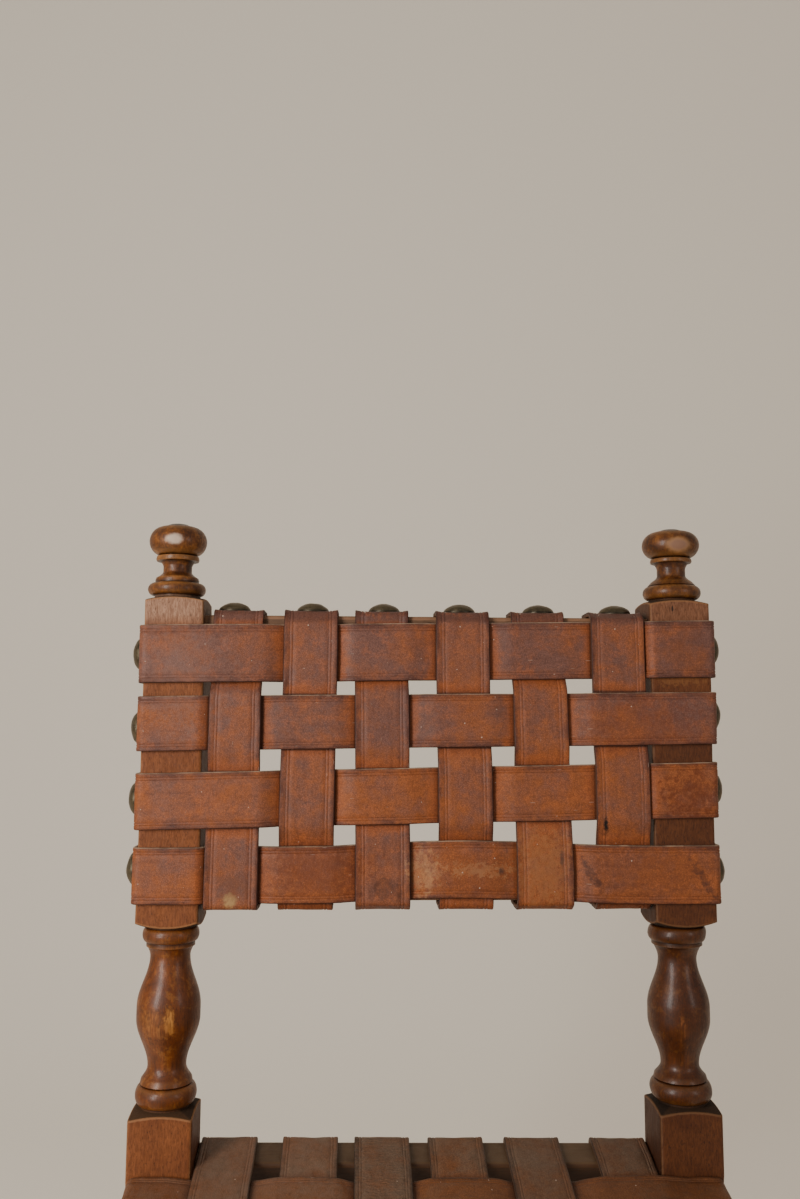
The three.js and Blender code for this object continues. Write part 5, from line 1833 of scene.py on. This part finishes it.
def seat_strap(kind, index):
    """A long strap runs from front to back, a cross strap from side to side."""
    if kind == "long":
        low, high = FRONT_RAIL_Y - HALF_RAIL, REAR_RAIL_Y + HALF_RAIL
        middles, covered, tone, seed = cross_places, 0, LONG_TONES[index], 21 + index
    else:
        low, high = -SIDE_RAIL_X - HALF_RAIL, SIDE_RAIL_X + HALF_RAIL
        middles, covered, tone, seed = long_places, 1, CROSS_TONES[index], 31 + index
    crossings = [
        (middle, SEAT_RAIL_TOP + LAYER, (index + other) % 2 == covered)
        for other, middle in sorted(enumerate(middles), key=lambda pair: pair[1])
    ]
    weave, under = woven(crossings)
    guides = wrapped(low, high, SEAT_RAIL_THICKNESS, SEAT_RAIL_TOP, SEAT_WRAP, weave)
    inner_low, inner_high = low + SEAT_RAIL_THICKNESS, high - SEAT_RAIL_THICKNESS

    def place(along, height, off):
        if kind == "long":
            x, depth = long_places[index] + off, along
        else:
            x, depth = along, cross_places[index] + off
        return seat_point(x, depth, height - seat_hang(x, depth))

    path = strap_path(guides, inner_low, inner_high, front=SEAT_RAIL_TOP - WRAP_START)
    rough = kind == "long" and index == WRINKLED_STRAP
    values = {
        "open_by": open_distance(path[:, 0], under), "cup": 0.5, "wrinkle": 1.8 if rough else 0.25,
        "widen": SEAT_WIDTH, "lit_rim": 0.4,
    }
    name = f"seat_strap_{kind}_{index + 1}"
    return lay_strap(name, path, place, values, tone, seed, cross_section, "seat_leather", lump=0.9)


seat_long = [seat_strap("long", index) for index in range(len(long_places))]
seat_cross = [seat_strap("cross", index) for index in range(len(cross_places))]
print("seat straps:", len(seat_long) + len(seat_cross))

# %% [markdown]
# ## Domed nails
# Each strap's end is held by a hammered nail with a large domed head. One head and its square
# shank are lathed once, and a second tree stands a copy on every point of a family of nails,
# turned to look the way that the point carries. Each head gets its own spin and a little noise.

# %% One nail
NAIL_RADIUS = 13.4
NAIL_HEIGHT = 8.8
NAIL_SIDES = 40
DOME_STEPS = 11
SHANK_SIDE = 4
SHANK_LENGTH = 22
SHANK_LEVELS = (-16, -4, 1.2)
TIP_SIDE = 0.8
RIM_ROLL = 1.2
RIM_WIDTH = 3
RIM_LEVEL = 1.4
CROWN_OPEN = 0.6


def nail_head():
    """Rings from the shank's tip to the crown, with the masks of each ring."""
    turns = 2 * math.pi * np.arange(NAIL_SIDES) / NAIL_SIDES
    circle = np.stack([np.cos(turns), np.sin(turns)], axis=1)
    square = circle / np.abs(circle).max(axis=1)[:, None]
    rows = [(square * TIP_SIDE / 2, -SHANK_LENGTH, 0, 0)]
    rows += [(square * SHANK_SIDE / 2, height, 0, 0) for height in SHANK_LEVELS]
    rows.append((circle * (NAIL_RADIUS - RIM_WIDTH), RIM_LEVEL, 0, 1))
    for turn in (-90, -45, 0):
        angle = math.radians(turn)
        out = NAIL_RADIUS - RIM_ROLL * (1 - math.cos(angle))
        rows.append((circle * out, RIM_ROLL * (1 + math.sin(angle)), 0, 1))
    for step in range(1, DOME_STEPS + 1):
        angle = math.pi / 2 * step / (DOME_STEPS + CROWN_OPEN)
        height = RIM_ROLL + (NAIL_HEIGHT - RIM_ROLL) * math.sin(angle)
        rows.append((circle * NAIL_RADIUS * math.cos(angle), height, step / DOME_STEPS, step == 1))
    rings = [np.column_stack([flat, np.full(NAIL_SIDES, height)]) for flat, height, _, _ in rows]
    mesh = skin_rings("nail", rings, nail_bronze)
    for index, value_name in ((2, "crown"), (3, "rim")):
        ring_values = np.repeat([float(row[index]) for row in rows], NAIL_SIDES)
        store(mesh, value_name, [*ring_values, 0.0, 1.0 if value_name == "crown" else 0.0])
    return bpy.data.objects.new("nail", mesh)


nail = nail_head()
print("faces on a nail:", len(nail.data.polygons))

# %% The nail tree
def random_number(tree, low, high, seed):
    """A number drawn for each point. The same seed gives the same draws."""
    return add_node(
        tree, "FunctionNodeRandomValue", None, None, low, high, None, None, None, None, seed,
        data_type="FLOAT", out=1,
    )


t, (spots, one_nail, hammered, size_spread, seed, material), nail_ids = new_tree(
    "nails_on_points",
    {"Nail": OBJECT, "Hammered": 0.0007, "Size Spread": 0.03, "Seed": 1, "Material": MATERIAL},
)
nail_tree = t
points = add_node(t, "GeometryNodeMeshToPoints", spots)
way = named(t, "way", "FLOAT_VECTOR")
facing = add_node(t, "FunctionNodeAlignRotationToVector", None, None, way, axis="Z")
spin = add_node(t, "FunctionNodeAxisAngleToRotation", (0, 0, 1), random_number(t, 0.0, 6.28, seed))
facing = add_node(t, "FunctionNodeRotateRotation", facing, spin, rotation_space="LOCAL")
size = random_number(t, 1.0 - size_spread, 1.0, seed)
head = add_node(t, "GeometryNodeObjectInfo", one_nail, out=4)
heads = add_node(t, "GeometryNodeInstanceOnPoints", points, None, head, None, None, facing, size)
heads = add_node(t, "GeometryNodeRealizeInstances", heads)
dents = noise(add_node(t, "GeometryNodeInputPosition"), 130.0, 2.0, 0.5) - 0.5
on_the_dome = combined("MINIMUM", named(t, "crown") * 4.0, 1.0)
offset = add_node(t, "GeometryNodeInputNormal") * (dents * hammered * on_the_dome * 2.0)
finish_tree(add_node(t, "GeometryNodeSetPosition", heads, None, None, offset), material)
print("inputs of the nail tree:", list(nail_ids))

# %% Where the nails go
TOP_NAIL_LIFT = 0.7
SIDE_NAIL_SETBACK = 16
SIDE_NAIL_LIFTS = {-1: (0.7, -3, 1.6, 3.5), 1: (0, 2.5, 0, 1.5)}
SEAT_NAIL_DROP = 25
BOTTOM_NAIL_RISE = 20

UP_THE_BACK = back_point(0, 0, 1) - back_point(0, 0, 0)
BEHIND_THE_BACK = back_point(0, 1, 0) - back_point(0, 0, 0)
RIGHTWARDS, REARWARDS = np.array([1.0, 0, 0]), np.array([0, 1.0, 0])
SEAT_NAIL_SEEDS = {"front": 10, "rear": 9, "left": 19, "right": 20}


def nail_family(name, places, way, seed, node=None):
    """Nails on points of the wood, lifted to the middle of the leather's thickness.

    node is the common name of the solids that they stand for. The seat's nails have none.
    """
    mesh = bpy.data.meshes.new(f"{name}_places")
    mesh.from_pydata(((np.array(places) + way * LAYER) * MM).tolist(), [], [])
    store(mesh, "way", np.tile(way, (len(places), 1)))
    heads = grow(name, mesh, nail_tree, nail_ids, {"Nail": nail, "Seed": seed, "Material": nail_bronze})
    nodes = [f"{node}_{index + 1}" for index in range(len(places))] if node else []
    return add_piece(name, heads, nodes)


def seat_nail(x, depth):
    return seat_point(x, depth, SEAT_RAIL_TOP - SEAT_NAIL_DROP + seat_tilt(x, depth))


top_xs = [upright_x(upright, TOP_RAIL_TOP) + TOP_NAIL_OFFSETS[upright] * STRAP_WIDTH for upright in UPRIGHTS]
rear_xs = [upright_x(upright, BOTTOM_RAIL_BOTTOM) for upright in UPRIGHTS]
top_spots = [back_point(x, 0, TOP_RAIL_TOP + TOP_NAIL_LIFT) for x in top_xs]
rear_level = BOTTOM_RAIL_BOTTOM + BOTTOM_NAIL_RISE
rear_spots = [back_point(x, BACK_RAIL_THICKNESS / 2, rear_level) for x in rear_xs]
nail_family("back_nails_top", top_spots, UP_THE_BACK, 1, "back_nail_top")
nail_family("back_nails_rear", rear_spots, BEHIND_THE_BACK, 2, "back_nail_rear")
for side, name in SIDE_NAMES.items():
    levels = [row_height(row, side * OUTER_X) + SIDE_NAIL_LIFTS[side][row] for row in ROWS]
    spots = [back_point(side * OUTER_X, SIDE_NAIL_SETBACK - HALF_POST, level) for level in levels]
    nail_family(f"back_nails_{name}", spots, side * RIGHTWARDS, 3 + side, f"back_nail_{name}")
for side, name, rail_y in ((-1, "front", FRONT_RAIL_Y), (1, "rear", REAR_RAIL_Y)):
    spots = [seat_nail(x, rail_y + side * HALF_RAIL) for x in long_places]
    nail_family(f"seat_nails_{name}", spots, side * REARWARDS, SEAT_NAIL_SEEDS[name])
for side, name in SIDE_NAMES.items():
    spots = [seat_nail(side * (SIDE_RAIL_X + HALF_RAIL), depth) for depth in cross_places]
    nail_family(f"seat_nails_{name}", spots, side * RIGHTWARDS, SEAT_NAIL_SEEDS[name])
print("nails:", 2 * (len(UPRIGHTS) + len(ROWS) + len(long_places) + len(cross_places)))
